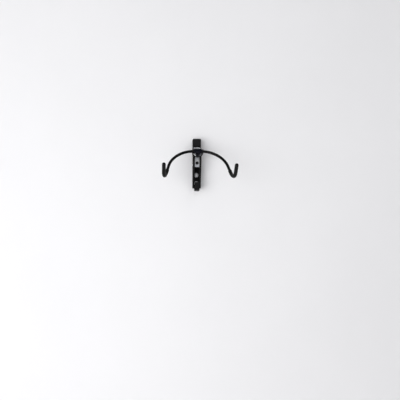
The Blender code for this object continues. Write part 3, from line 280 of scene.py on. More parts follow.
class HubSizes(PropertyGroup):
    """Sizes of the cast hub, its bushes and the screw that clamps its halves."""
    width: length("Width", 0.029, "Across the hub")
    wall: length("Wall", 0.0033, "Metal round the bushes")
    seat: length("Seat", 0.0038, "Metal under the swivel bolt's head")
    shoulder_drop: length("Shoulder Drop", 0.003, "From the fold axis down to the shoulders")
    shoulder_round: length("Shoulder Round", 0.005, "Radius of the shoulders")
    nose_drop: length("Nose Drop", 0.017, "From the fold axis down to the nose")
    nose_width: length("Nose Width", 0.0105, "Width of the nose")
    nose_round: length("Nose Round", 0.0042, "Radius of the nose's corners")
    nose_front: length("Nose Front", 0.0035, "Reach out past the fold axis")
    cheek: angle("Cheek", 20.0, "Slant of the front down to the nose")
    round: length("Outer Round", 0.0013, "Rounding of the outer edges")
    edge: length("Edge", 0.0003, "Rounding of the other edges")
    bush_wall: length("Bush Wall", 0.00135, "Thickness of the bar's bushes")
    flange: length("Flange", 0.0012, "Thickness of their flanges")
    flange_width: length("Flange Width", 0.017, "Diameter of their flanges")
    bush_gap: length("Bush Gap", 0.0012, "Room between the two bushes")
    screw: length("Cover Screw", 0.0035, "Diameter of the cover screw")
    screw_head: length("Cover Screw Head", 0.007, "Diameter of its head")
    screw_rise: length("Cover Screw Rise", 0.0021, "Height of its head")
    screw_drop: length("Cover Screw Drop", 0.012, "From the fold axis down to the cover screw")
    screw_seat: length("Cover Screw Seat", 0.003, "From the split to the seat of its head")
    screw_bite: length("Cover Screw Bite", 0.0105, "Depth in the hub's base")
    socket: length("Socket", 0.003, "Width of its socket over the corners")
    socket_depth: length("Socket Depth", 0.0014, "Depth of its socket")


class BarSizes(PropertyGroup):
    """Sizes of the bent bar, its sleeves and the loop that stops it."""
    diameter: length("Diameter", 0.011, "Diameter of the rod")
    straight: length("Straight", 0.028, "Straight length in the hub")
    arch_radius: length("Arch Radius", 0.102, "Radius of the arch")
    arch_turn: angle("Arch Turn", 77.0, "How far the arch turns on each side")
    slope: angle("Slope", 56.0, "How steeply the bar hangs from the hub")
    reach: length("Reach", 0.112, "From the fold axis to the hooks, down the slope")
    hook_radius: length("Hook Radius", 0.038, "Radius of the hooks")
    hook_turn: angle("Hook Turn", 97.0, "How far the hooks turn")
    prong: length("Prong", 0.039, "Straight length at the end of a hook")
    end_edge: length("End Edge", 0.0006, "Chamfer on the rod's ends")
    sleeve_wall: length("Sleeve Wall", 0.0012, "Thickness of the sleeves")
    sleeve_lead: length("Sleeve Lead", 0.012, "From a sleeve's mouth to the hook")
    sleeve_tip: length("Sleeve Tip", 0.0028, "Thickness of the sleeve's domed end")
    sleeve_edge: length("Sleeve Edge", 0.0004, "Rounding of the sleeve's mouth")
    bead: length("Mouth Bead", 0.0035, "Length of the thick ring at its mouth")
    bead_rise: length("Bead Rise", 0.00025, "How far that ring stands up")
    seam: length("Mould Seam", 0.0001, "Height of the sleeves' seams")
    yoke_rod: length("Loop Rod", 0.004, "Diameter of the loop's rod")
    ring_width: length("Ring Width", 0.006, "Width of the loop's rings on the bar")
    ring_wall: length("Ring Wall", 0.0019, "Thickness of those rings")
    ring_slack: length("Ring Slack", 0.0006, "Room between a ring and the bar")
    nose_clearance: length("Nose Clearance", 0.0048, "Room between the hub's nose and the loop")
    weld: length("Weld Bead", 0.00055, "Radius of the weld beads")


class WallScrewSizes(PropertyGroup):
    """Sizes of the screws into the wall and of their washers."""
    diameter: length("Diameter", 0.008, "Diameter over the thread")
    hole_slack: length("Hole Slack", 0.001, "How much wider their holes are")
    in_wall: length("In Wall", 0.045, "Depth in the wall")
    point: length("Point", 0.008, "Length of the point")
    pitch: length("Pitch", 0.0034, "Pitch of the thread")
    thread: length("Thread Depth", 0.0011, "Depth of the thread")
    shank: length("Shank", 0.006, "Plain length inside the wall")
    head: length("Head", 0.015, "Width of the hexagon head over the corners")
    head_rise: length("Head Rise", 0.0053, "Height of the head")
    chamfer: length("Chamfer", 0.0008, "Height of the chamfer on the head")
    washer_width: length("Washer Width", 0.018, "Diameter of the washers")
    washer: length("Washer", 0.0016, "Thickness of the washers")
    top_from_top: length("Top From Top", 0.014, "From the channel's top to the top screw")
    low_from_foot: length("Low From Foot", 0.020, "From the channel's foot to the low screw")
    spacing: length("Spacing", 0.035, "Between the two low screws")


class HelmetHookSizes(PropertyGroup):
    """Sizes of the strap that hangs below the channel."""
    strap: length("Strap", 0.003, "Thickness of the strap")
    width: length("Width", 0.018, "Width of the strap")
    above: length("Above Screw", 0.013, "Reach above the middle screw")
    below: length("Below Channel", 0.012, "Reach below the channel")
    reach: length("Reach", 0.062, "From the wall to the lip")
    bend: length("Bend", 0.012, "Radius of its bends")
    rise: length("Lip Rise", 0.030, "Height of the lip")
    lean: length("Lip Lean", 0.006, "How far the lip leans out")
    corner: length("Corner", 0.003, "Radius of the strap's corners")
    edge: length("Edge", 0.0005, "Rounding of its edges")
    tip_wall: length("Tip Wall", 0.0012, "Thickness of the tip")
    tip: length("Tip Length", 0.011, "Length of the tip")
    tip_round: length("Tip Round", 0.001, "Rounding of the tip")


class FinishSettings(PropertyGroup):
    """Colours of the finishes, and how worn and dusty they are."""
    powder_coat: colour("Powder Coat", (0.0042, 0.0042, 0.0046), "Channel and helmet hook")
    bar_coat: colour("Bar Coat", (0.0024, 0.0024, 0.0027), "Bar and loop")
    cap_plastic: colour("Cap Plastic", (0.0062, 0.0062, 0.0066), "Cap and bar bushes")
    hub_paint: colour("Hub Paint", (0.0012, 0.0018, 0.0060), "The two halves of the hub")
    rubber: colour("Rubber", (0.0042, 0.0042, 0.0045), "Sleeves and the helmet hook's tip")
    nylon: colour("Nylon", (0.62, 0.60, 0.53), "Swivel bush")
    black_oxide: colour("Black Oxide", (0.008, 0.008, 0.009), "Dark bolts and screws")
    zinc: colour("Zinc", (0.68, 0.69, 0.70), "Plated pieces")
    bare_steel: colour("Bare Steel", (0.30, 0.29, 0.28), "Steel where a coat is worn through")
    scuff: colour("Scuff", (0.075, 0.075, 0.078), "Rubbed plastic and rubber")
    dust: colour("Dust", (0.34, 0.32, 0.29), "Dust on upward faces")
    wear: share("Wear", 0.5, "How worn the edges are")
    dustiness: share("Dustiness", 0.08, "How much dust has settled")


class StudioSettings(PropertyGroup):
    """The camera, the lamps, and the wall and floor round the rack."""
    camera: FloatVectorProperty(
        name="Camera", description="Place of the camera", default=(-0.0927, -1.4231, -0.2268),
        subtype="TRANSLATION", unit="LENGTH",
    )
    tilt: angle("Tilt", 3.143, "How far the camera looks up")
    turn: angle("Turn", -4.363, "How far the camera turns to the left")
    lens: FloatProperty(
        name="Lens", description="Focal length", default=30.69, min=1.0, subtype="DISTANCE_CAMERA",
    )
    wall: colour("Wall", (0.86, 0.86, 0.88), "The wall that the rack hangs on")
    floor: colour("Floor", (0.74, 0.73, 0.72), "The floor below")
    bright: colour("Background Below", (0.86, 0.86, 0.87), "Background low on the left")
    dim: colour("Background Above", (0.30, 0.30, 0.31), "Background high on the right")
    drop: length("Floor Drop", 1.6, "From the rack down to the floor")
    size: length("Wall Size", 8.0, "Width of the wall and the floor")
    key: power("Key Light", 94.0, "Power of the large lamp")
    fill: power("Fill Light", 12.0, "Power of the weak lamp")
    back: power("Back Light", 50.0, "Power of the rear lamp")
    ambient: share("Ambient", 0.46, "Brightness of the light from all round")


class RackSettings(PropertyGroup):
    """Everything about the rack that can be set."""
    channel: PointerProperty(type=ChannelSizes)
    cap: PointerProperty(type=CapSizes)
    saddle: PointerProperty(type=SaddleSizes)
    swivel: PointerProperty(type=SwivelSizes)
    hub: PointerProperty(type=HubSizes)
    bar: PointerProperty(type=BarSizes)
    wall_screw: PointerProperty(type=WallScrewSizes)
    helmet_hook: PointerProperty(type=HelmetHookSizes)
    finish: PointerProperty(type=FinishSettings)
    studio: PointerProperty(type=StudioSettings)


def places(rack):
    """Work out the places that follow from the sizes."""
    channel, cap, saddle, swivel = rack.channel, rack.cap, rack.saddle, rack.swivel
    hub, bar, screw, hook = rack.hub, rack.bar, rack.wall_screw, rack.helmet_hook
    gap = channel.gap
    at = SimpleNamespace(gap=gap)
    at.top = channel.height / 2
    at.foot = -channel.height / 2
    at.hub_depth = saddle.depth + channel.lip
    at.channel_inside = channel.width - 2 * channel.wall
    at.fold_z = at.top - channel.axis_below_top
    at.cap_top = at.top + gap + cap.wall
    at.cap_foot = at.cap_top - cap.height
    at.shoulder = at.cap_foot - cap.clearance
    at.swivel_z = at.fold_z - swivel.below
    at.turn_in_top = at.swivel_z - swivel.boss / 2 - channel.turn_in_clearance
    at.saddle_width = at.channel_inside - 2 * gap
    at.saddle_back_face = saddle.depth - saddle.wall
    at.saddle_inside = at.saddle_width - 2 * saddle.wall
    at.saddle_bend = saddle.bend - saddle.wall
    at.tie_z = at.fold_z - saddle.bolt_below
    at.boss_back = saddle.depth + gap
    at.boss_front = at.boss_back + swivel.boss_length
    at.flange_front = at.boss_front + gap + swivel.flange
    at.plate_back = at.flange_front + gap
    at.plate_front = at.plate_back + swivel.plate
    at.hub_back = at.plate_front + gap
    at.bar_radius = bar.diameter / 2
    at.bush_bore = at.bar_radius + gap
    at.bush_radius = at.bush_bore + hub.bush_wall
    at.hub_bore = at.bush_radius + gap
    at.hub_round = at.hub_bore + hub.wall
    at.bolt_seat = at.hub_back + hub.seat
    at.bolt_head_back = at.bolt_seat + gap
    at.fold_depth = at.bolt_head_back + swivel.bolt_rise + gap + at.hub_bore
    at.hub_half = hub.width / 2
    at.bush_end = at.hub_half + gap + hub.flange
    at.cover_screw_z = at.fold_z - hub.screw_drop
    at.yoke_half = at.bush_end + gap + bar.ring_width / 2
    at.ring_bore = at.bar_radius + bar.ring_slack
    at.ring_radius = at.ring_bore + bar.ring_wall
    at.yoke_reach = hypot(hub.nose_front, hub.nose_drop) + bar.nose_clearance + bar.yoke_rod / 2
    at.yoke_back = at.fold_depth - (at.plate_front + gap + bar.yoke_rod / 2)
    at.yoke_drop = sqrt(at.yoke_reach ** 2 - at.yoke_back ** 2)
    at.plate_radius = at.yoke_drop - swivel.below + swivel.rim
    at.strap_back = channel.wall + gap
    at.strap_front = at.strap_back + hook.strap
    at.low_screw = at.foot + screw.low_from_foot
    at.middle_screw = at.low_screw + screw.spacing
    at.screw_hole = (screw.diameter + screw.hole_slack) / 2
    at.screws = [
        ("top", at.top - screw.top_from_top, channel.wall),
        ("middle", at.middle_screw, at.strap_front),
        ("low", at.low_screw, at.strap_front),
    ]
    at.rivet_depth = saddle.depth - saddle.rivet_from_front
    at.rivets = [
        ("top", at.fold_z + saddle.above - saddle.rivet_from_top),
        ("low", at.fold_z - saddle.below + saddle.rivet_from_foot),
    ]
    return at


# ---------------- shapes

def out(x, depth, z):
    """Give a point at a depth out from the wall, which also places an outline drawn from above."""
    return Vector((x, -depth, z))


def side(depth, z, x):
    """Place an outline drawn from the side: depth from the wall, height, level across."""
    return out(x, depth, z)


def front(x, z, depth):
    """Place an outline drawn from the front: x across, height, level from the wall."""
    return out(x, depth, z)


def spread(whole, steps):
    """Give the values from 0 to a whole in even steps, both ends included."""
    return [whole * step / steps for step in range(steps + 1)]


def quarter(steps):
    """Give the angles of a quarter turn in even steps."""
    return spread(pi / 2, steps)


def rounded(corners):
    """Give a closed outline whose corners (a, b, radius) are rounded."""
    outline = []
    for index, (a, b, radius) in enumerate(corners):
        here = Vector((a, b))
        if radius == 0:
            outline.append(here)
            continue
        before = (Vector(corners[index - 1][:2]) - here).normalized()
        after = (Vector(corners[(index + 1) % len(corners)][:2]) - here).normalized()
        half = before.angle(after) / 2
        centre = here + (before + after).normalized() * (radius / sin(half))
        start = here + before * (radius / tan(half)) - centre
        whole = start.angle_signed(here + after * (radius / tan(half)) - centre)
        steps = max(LEAST_STEPS, round(abs(whole) / ROUND_STEP))
        for turn in spread(-whole, steps):
            cosine, sine = cos(turn), sin(turn)
            spoke = Vector((start.x * cosine - start.y * sine, start.x * sine + start.y * cosine))
            outline.append(centre + spoke)
    return outline


def join_rings(bm, low, high):
    """Join two rings with faces; either may be a single point."""
    sides = max(len(low), len(high))
    for number in range(sides):
        following = (number + 1) % sides
        if len(low) == 1:
            bm.faces.new((low[0], high[following], high[number]))
        elif len(high) == 1:
            bm.faces.new((low[number], low[following], high[0]))
        else:
            bm.faces.new((low[number], low[following], high[following], high[number]))


def prism(outline, place, low, high):
    """Push an outline out between two levels; place(a, b, level) gives a point."""
    bm = bmesh.new()
    bottom = [bm.verts.new(place(point[0], point[1], low)) for point in outline]
    top = [bm.verts.new(place(point[0], point[1], high)) for point in outline]
    bm.faces.new(bottom)
    bm.faces.new(top[::-1])
    for index in range(len(outline)):
        following = (index + 1) % len(outline)
        bm.faces.new((bottom[index], top[index], top[following], bottom[following]))
    return bm


class Path:
    """A smooth run of points, measured along its length."""

    def __init__(self, points, across):
        """Take the points, and one direction across the place where a sweep starts."""
        self.points = [Vector(point) for point in points]
        self.across = Vector(across)
        self.marks = [0.0]
        for start, end in zip(self.points, self.points[1:]):
            self.marks.append(self.marks[-1] + (end - start).length)
        self.length = self.marks[-1]

    def position(self, distance):
        """Give the point at a distance along the run, also past its ends."""
        index = min(max(bisect.bisect_right(self.marks, distance) - 1, 0), len(self.points) - 2)
        part = (distance - self.marks[index]) / (self.marks[index + 1] - self.marks[index])
        return self.points[index].lerp(self.points[index + 1], part)

    def direction(self, distance):
        """Give the direction of the run at a distance along it."""
        ahead = self.position(distance + SMALL_STEP)
        return (ahead - self.position(distance - SMALL_STEP)).normalized()

    def between(self, low, high):
        """Give the marks of the run's points between two distances."""
        return [mark for mark in self.marks if low + SAME_PLACE < mark < high - SAME_PLACE]


def sweep(bm, path, stations, sides=SIDES, closed=False):
    """Turn an outline of (distance, reach) about a path, in a bmesh.

    A reach is a radius, or a function that gives it for each angle. Each ring follows the
    one before, so nothing twists along a bend. An open outline starts and ends at radius 0.
    """
    forward = path.direction(stations[0][0])
    normal = path.across
    rings = []
    for distance, reach in stations:
        following = path.direction(distance)
        normal = forward.rotation_difference(following) @ normal
        forward = following
        normal = (normal - forward * normal.dot(forward)).normalized()
        sideways = forward.cross(normal)
        centre = path.position(distance)
        rings.append([])
        for number in range(sides if reach else 1):
            turn = 2 * pi * number / sides
            radius = reach(turn) if callable(reach) else reach
            spoke = normal * (radius * cos(turn)) + sideways * (radius * sin(turn))
            rings[-1].append(bm.verts.new(centre + spoke))
    for low, high in zip(rings, rings[1:]):
        join_rings(bm, low, high)
    if closed:
        join_rings(bm, rings[-1], rings[0])
    return bm


def swept(path, stations, sides=SIDES, closed=False):
    """Give a new body whose outline is turned about a path."""
    return sweep(bmesh.new(), path, stations, sides, closed)


def from_wall(x, z):
    """Give the path straight out from the wall, measured from its face."""
    return Path([out(x, 0, z), out(x, 1, z)], (0, 0, 1))


def from_middle(depth, z, hand=1):
    """Give the path to one hand, measured from the rack's middle."""
    return Path([out(0, depth, z), out(hand, depth, z)], (0, 0, 1))


def pin(low, high, radius):
    """Give a plain pin's outline."""
    return [(low, 0), (low, radius), (high, radius), (high, 0)]


def stepped_pin(low, step, high, before, after):
    """Give the outline of a pin with one radius before its step and another after it."""
    return [(low, 0), (low, before), (step, before), (step, after), (high, after), (high, 0)]


def ring(low, high, inner, outer, edge):
    """Give a ring's outline with rounded edges, to be closed."""
    small = edge / 2
    return rounded([(low, inner, small), (low, outer, edge), (high, outer, edge), (high, inner, small)])


def head_rim(top, radius, edge):
    """Give the stations over the rounded rim of a screw's head."""
    return [
        (top - edge * (1 - sin(turn)), radius - edge * (1 - cos(turn)))
        for turn in quarter(RIM_STEPS)
    ]


def hexagon(radius):
    """Give the reach of a hexagon with its corners at a radius."""
    sixth = pi / 3
    return lambda turn: radius * cos(sixth / 2) / cos(turn % sixth - sixth / 2)


def crowned(radius, limit):
    """Give the reach of a hexagon that is turned down to a limit."""
    corner = hexagon(radius)
    return lambda turn: min(corner(turn), limit)


def crown(radius, edge, level):
    """Give a hexagon's stations over a chamfer, up to the level of its face."""
    return [
        (level - edge * (1 - part), crowned(radius, radius - 2 * edge * part))
        for part in spread(1, CROWN_STEPS)
    ]


def pointed(reach, share_left):
    """Give a reach that is drawn in to a share of itself."""
    return lambda turn: reach(turn) * share_left


def knurled(radius, depth):
    """Give the reach of a straight knurl."""
    return lambda turn: radius - depth * (1 - cos(KNURL_TEETH * turn)) / 2


def threaded(distance, core, crest, pitch, tooth):
    """Give the reach of a thread at one distance along a screw."""
    def reach(turn):
        phase = (distance / pitch - turn / (2 * pi)) % 1
        height = max(0.0, 1 - abs(phase - 0.5) / tooth)
        return core + (crest - core) * min(1.0, FLAT_CREST * height)
    return reach


def thread(low, high, crest, depth, pitch, tooth):
    """Give a thread's stations between two distances, where it runs out at both ends."""
    count = max(2, round((high - low) / pitch * THREAD_STEPS))
    stations = []
    for step in range(count + 1):
        distance = low + (high - low) * step / count
        fade = min(1.0, (distance - low) / pitch, (high - distance) / pitch)
        core = crest - depth * max(0.0, fade)
        stations.append((distance, threaded(distance, core, crest, pitch, tooth)))
    return stations


def face_outwards(bm):
    """Turn every face outwards, also on a tube that bends round on itself."""
    bmesh.ops.recalc_face_normals(bm, faces=bm.faces)
    if bm.calc_volume(signed=True) < 0:
        bmesh.ops.reverse_faces(bm, faces=bm.faces)


def new_object(name, bm):
    """Make an object of a body, which is used up, and give it."""
    mesh = bpy.data.meshes.new(name)
    bm.to_mesh(mesh)
    bm.free()
    made = bpy.data.objects.new(name, mesh)
    bpy.context.scene.collection.objects.link(made)
    return made


def carved(body, *steps):
    """Give a body after each (operation, tool) has cut, joined or trimmed it."""
    shapes = []
    for bm in (body, *(tool for _, tool in steps)):
        face_outwards(bm)
        shapes.append(new_object("shape", bm))
    for (operation, _), tool in zip(steps, shapes[1:]):
        modifier = shapes[0].modifiers.new(operation, "BOOLEAN")
        modifier.operation = operation
        modifier.solver = "EXACT"
        modifier.object = tool
    bm = bmesh.new()
    bm.from_object(shapes[0], bpy.context.evaluated_depsgraph_get())
    for shape in shapes:
        mesh = shape.data
        bpy.data.objects.remove(shape)
        bpy.data.meshes.remove(mesh)
    bmesh.ops.remove_doubles(bm, verts=bm.verts, dist=WELD)
    bmesh.ops.dissolve_degenerate(bm, dist=WELD, edges=bm.edges)
    bmesh.ops.dissolve_limit(bm, angle_limit=FLAT, verts=bm.verts, edges=bm.edges)
    return bm


def soften(bm, width, chosen=None, segments=EDGE_SEGMENTS):
    """Round the sharp edges, or those of them that chosen picks."""
    edges = [
        edge for edge in bm.edges
        if len(edge.link_faces) == 2
        and edge.calc_face_angle(0.0) > SHARP
        and (chosen is None or chosen(edge))
    ]
    bmesh.ops.bevel(
        bm, geom=edges, offset=width, offset_type="OFFSET", segments=segments, profile=0.5,
        affect="EDGES", clamp_overlap=True, loop_slide=True,
    )
    return bm


def both_ends(edge, test):
    """Tell whether both ends of an edge pass a test."""
    return all(test(vert.co) for vert in edge.verts)


def finish_piece(node, bm, finish):
    """Make the finished piece for one node, and let it ride on the node's body."""
    face_outwards(bm)
    piece = new_object(f"{node}_finished", bm)
    piece.data.shade_smooth()
    piece.data.set_sharp_from_angle(angle=SHARP)
    piece.data.materials.append(finish_of(finish))
    normals = piece.modifiers.new("flat faces stay flat", "WEIGHTED_NORMAL")
    normals.keep_sharp = True
    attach(piece, BODY_OF[node])
    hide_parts(node)


def turn_piece(node, path, stations, finish, sides=SIDES, closed=False):
    """Make a finished piece whose outline is turned about a path."""
    finish_piece(node, swept(path, stations, sides, closed), finish)


# ---------------- finishes

def feed(tree, socket, value):
    """Set a socket to a value, or link it to the socket that feeds it."""
    if isinstance(value, bpy.types.NodeSocket):
        tree.links.new(value, socket)
    else:
        socket.default_value = value


def add_node(tree, kind, column, row, inputs=None, **settings):
    """Add a node; each input is a value, or the socket that feeds it."""
    node = tree.nodes.new(kind)
    node.location = (column * NODE_COLUMN, -row * NODE_ROW)
    for name, value in settings.items():
        setattr(node, name, value)
    for key, value in (inputs or {}).items():
        feed(tree, node.inputs[key], value)
    return node


def maths(tree, operation, column, row, *values):
    """Add a Math node and give its result."""
    inputs = dict(enumerate(values))
    return add_node(tree, "ShaderNodeMath", column, row, inputs, operation=operation).outputs[0]


def vector_maths(tree, operation, column, row, *values):
    """Add a Vector Math node and give its outputs."""
    inputs = dict(enumerate(values))
    return add_node(tree, "ShaderNodeVectorMath", column, row, inputs, operation=operation).outputs


def ramp(tree, column, row, value, low, high):
    """Spread a range smoothly over 0 to 1, and give the result."""
    return add_node(
        tree, "ShaderNodeMapRange", column, row, {"Value": value, "From Min": low, "From Max": high},
        interpolation_type="SMOOTHSTEP",
    ).outputs["Result"]


def mixed(tree, column, row, mask, first, second):
    """Mix two colours by a mask and give the result."""
    inputs = {0: mask, 6: first, 7: second}
    return add_node(tree, "ShaderNodeMix", column, row, inputs, data_type="RGBA").outputs[2]


def noise(tree, column, row, place, scale, detail, roughness):
    """Add a noise texture and give its value."""
    return add_node(
        tree, "ShaderNodeTexNoise", column, row,
        {"Vector": place, "Scale": scale, "Detail": detail, "Roughness": roughness},
    ).outputs[0]


def new_group(name, inputs, outputs):
    """Give a new shader node group with its inputs and texture coordinates."""
    group = bpy.data.node_groups.new(name, "ShaderNodeTree")
    for label, value in inputs.items():
        kind = "NodeSocketVector" if isinstance(value, tuple) else "NodeSocketFloat"
        group.interface.new_socket(name=label, in_out="INPUT", socket_type=kind).default_value = value
    for label in outputs:
        group.interface.new_socket(name=label, in_out="OUTPUT", socket_type="NodeSocketFloat")
    given = add_node(group, "NodeGroupInput", -2, 0).outputs
    add_node(group, "NodeGroupOutput", 7, 0)
    return group, given, add_node(group, "ShaderNodeTexCoord", -1, 1).outputs


def give(group, **results):
    """Feed a group's results to its named outputs, and give the group."""
    for name, value in results.items():
        group.links.new(value, group.nodes["Group Output"].inputs[name])
    return group


def grain_group():
    """Fine grain: a soft peel with a finer grain on top, in the piece's own space."""
    group, given, place = new_group("Fine Grain", {
        "Peel Scale": 700.0, "Grain Scale": 2600.0, "Grain Share": 0.4, "Stretch": (1.0, 1.0, 1.0),
    }, ["Height"])
    drawn = vector_maths(group, "MULTIPLY", 0, 1, place["Object"], given["Stretch"])[0]
    peel = noise(group, 1, 0, drawn, given["Peel Scale"], 2.0, 0.45)
    grain = noise(group, 1, 2, drawn, given["Grain Scale"], 3.0, 0.6)
    difference = maths(group, "SUBTRACT", 2, 1, grain, peel)
    return give(group, Height=maths(group, "MULTIPLY_ADD", 3, 1, difference, given["Grain Share"], peel))


def sheen_group():
    """Uneven sheen: broad patches with small smudges, for roughness and tint."""
    group, given, place = new_group(
        "Uneven Sheen", {"Patch Scale": 30.0, "Smudge Scale": 160.0}, ["Patches", "Smudges"],
    )
    patches = noise(group, 0, 0, place["Object"], given["Patch Scale"], 3.0, 0.55)
    smudges = noise(group, 0, 2, place["Object"], given["Smudge Scale"], 4.0, 0.65)
    patches = ramp(group, 2, 0, patches, 0.3, 0.7)
    return give(group, Patches=patches, Smudges=ramp(group, 2, 2, smudges, 0.35, 0.72))


def wear_group():
    """Worn edges: where the rounded normal leaves the real one, broken up by patches."""
    group, given, place = new_group(
        "Worn Edges", {"Width": 0.0007, "Wear": 0.5, "Patch Scale": 260.0}, ["Mask"],
    )
    eased = add_node(group, "ShaderNodeBevel", -1, 0, {"Radius": given["Width"]}, samples=6).outputs[0]
    plain = add_node(group, "ShaderNodeNewGeometry", -1, 2).outputs["Normal"]
    lean = vector_maths(group, "DOT_PRODUCT", 0, 0, eased, plain)["Value"]
    edge = ramp(group, 1, 0, lean, 0.995, 0.80)
    patches = noise(group, 0, 2, place["Object"], given["Patch Scale"], 5.0, 0.65)
    threshold = maths(group, "MULTIPLY_ADD", 1, 3, given["Wear"], -0.5, 0.85)
    above = maths(group, "SUBTRACT", 2, 2, patches, threshold)
    broken = ramp(group, 3, 2, above, -0.06, 0.12)
    return give(group, Mask=maths(group, "MULTIPLY", 4, 1, edge, broken))


def dust_group():
    """Settled dust: on faces that look up when the rack is at rest, in thin patches."""
    group, given, place = new_group("Settled Dust", {"Amount": 0.25, "Patch Scale": 120.0}, ["Mask"])
    up = add_node(group, "ShaderNodeSeparateXYZ", 0, 0, {0: place["Normal"]}).outputs["Z"]
    level = ramp(group, 1, 0, up, 0.35, 0.95)
    patches = noise(group, 0, 2, place["Object"], given["Patch Scale"], 6.0, 0.7)
    covered = maths(group, "MULTIPLY", 2, 1, level, ramp(group, 1, 2, patches, 0.35, 0.75))
    return give(group, Mask=maths(group, "MULTIPLY", 3, 1, covered, given["Amount"]))


def marks_group():
    """Rubbed marks: thin stretched streaks, and a mask of where they are gathered."""
    group, given, place = new_group("Rubbed Marks", {
        "Stretch": (1.0, 1.0, 0.04), "Scale": 1800.0, "Patch Scale": 45.0,
    }, ["Streaks", "Mask"])
    drawn = vector_maths(group, "MULTIPLY", 0, 0, place["Object"], given["Stretch"])[0]
    streaks = noise(group, 1, 0, drawn, given["Scale"], 3.0, 0.6)
    patches = noise(group, 1, 2, place["Object"], given["Patch Scale"], 3.0, 0.6)
    fine = ramp(group, 2, 0, streaks, 0.56, 0.74)
    gathered = ramp(group, 2, 2, patches, 0.45, 0.7)
    return give(group, Streaks=streaks, Mask=maths(group, "MULTIPLY", 3, 1, fine, gathered))


def rings_group():
    """Turned rings: fine grooves round an axis out of the wall, as a lathe leaves them."""
    group, given, place = new_group(
        "Turned Rings", {"Centre": (0.0, 0.0, 0.0), "Rings Per Metre": 3200.0}, ["Height"],
    )
    off = vector_maths(group, "SUBTRACT", 0, 1, place["Object"], given["Centre"])[0]
    flat = vector_maths(group, "MULTIPLY", 1, 1, off, (1.0, 0.0, 1.0))[0]
    away = vector_maths(group, "LENGTH", 2, 1, flat)["Value"]
    turns = maths(group, "MULTIPLY", 3, 1, away, given["Rings Per Metre"])
    drift = noise(group, 3, 2, flat, 260.0, 2.0, 0.5)
    groove = maths(group, "SINE", 5, 1, maths(group, "MULTIPLY_ADD", 4, 1, turns, 2 * pi, drift))
    return give(group, Height=maths(group, "MULTIPLY_ADD", 6, 1, groove, 0.5, 0.5))


GROUP_MAKERS = {
    "Fine Grain": grain_group, "Uneven Sheen": sheen_group, "Worn Edges": wear_group,
    "Settled Dust": dust_group, "Rubbed Marks": marks_group, "Turned Rings": rings_group,
}


def use_group(tree, name, row, inputs):
    """Place a shared node group in a material."""
    shared = bpy.data.node_groups.get(name) or GROUP_MAKERS[name]()
    return add_node(tree, "ShaderNodeGroup", 0, row, inputs, node_tree=shared).outputs


def shaded(tint, red=1.0, green=None, blue=None):
    """Give a colour times one factor or three, with full alpha."""
    factors = (red, red if green is None else green, red if blue is None else blue)
    return (*(min(1.0, part * factor) for part, factor in zip(tint, factors)), 1.0)


def new_material(name):
    """Make a material and give it with its tree and shader."""
    material = bpy.data.materials.new(name)
    material.use_nodes = True
    tree = material.node_tree
    shader = tree.nodes["Principled BSDF"]
    shader.location = (9 * NODE_COLUMN, 0)
    tree.nodes["Material Output"].location = (11 * NODE_COLUMN, 0)
    return material, tree, shader


class Finish:
    """A finish that is made layer by layer, each with its colour and roughness."""

    def __init__(self, look, settings, low, high):
        """Start with an uneven sheen between two colours."""
        self.look = look
        self.settings = settings
        self.material, self.tree, self.shader = new_material(look.name)
        scales = {"Patch Scale": look.patch, "Smudge Scale": look.smudge}
        sheen = use_group(self.tree, "Uneven Sheen", 0, scales)
        self.base = mixed(self.tree, 1, 0, sheen["Patches"], low, high)
        self.rough = look.roughness - look.spread / 2
        self.column = 1
        self.roughen(sheen["Smudges"], look.spread)

    def roughen(self, mask, amount):
        """Change the roughness where a mask is."""
        self.rough = maths(self.tree, "MULTIPLY_ADD", self.column, 2, mask, amount, self.rough)
        self.column += 1

    def lay(self, mask, tint, rougher):
        """Lay a colour where a mask is, and change the roughness there."""
        self.base = mixed(self.tree, self.column, 0, mask, self.base, tint)
        self.roughen(mask, rougher)
        return mask

    def wear_edges(self, tint, rougher):
        """Wear the edges down to a colour, and give the mask."""
        edges = use_group(self.tree, "Worn Edges", 2, {
            "Width": self.look.edge, "Wear": self.settings.wear * self.look.wear,
            "Patch Scale": self.look.wear_patch,
        })
        return self.lay(edges["Mask"], tint, rougher)

    def rub(self, tint, rougher, patch):
        """Rub marks into the surface, and give their streaks."""
        marks = use_group(self.tree, "Rubbed Marks", 4, {
            "Stretch": self.look.stretch, "Scale": self.look.mark, "Patch Scale": patch,
        })
        self.lay(maths(self.tree, "MULTIPLY", 1, 4, marks["Mask"], self.look.marks), tint, rougher)
        return marks["Streaks"]

    def settle_dust(self):
        """Let dust settle, and give the mask."""
        dust = use_group(self.tree, "Settled Dust", 6, {
            "Amount": self.settings.dustiness * self.look.dust, "Patch Scale": self.look.smudge,
        })
        return self.lay(dust["Mask"], shaded(self.settings.dust), rougher=0.5)

    def grain(self, **inputs):
        """Add the fine grain and give its height."""
        look = self.look
        scales = {"Peel Scale": look.peel, "Grain Scale": look.grain, "Grain Share": look.grain_share}
        return use_group(self.tree, "Fine Grain", 8, {**scales, **inputs})["Height"]

    def done(self, height, **shader_values):
        """Feed the shader all of its values, and give the material."""
        relief = {"Strength": 1.0, "Distance": self.look.height, "Height": height}
        normal = add_node(self.tree, "ShaderNodeBump", 7, 4, relief).outputs[0]
        values = {"Base Color": self.base, "Roughness": self.rough, "Normal": normal, **shader_values}
        for name, value in values.items():
            feed(self.tree, self.shader.inputs[name], value)
        return self.material


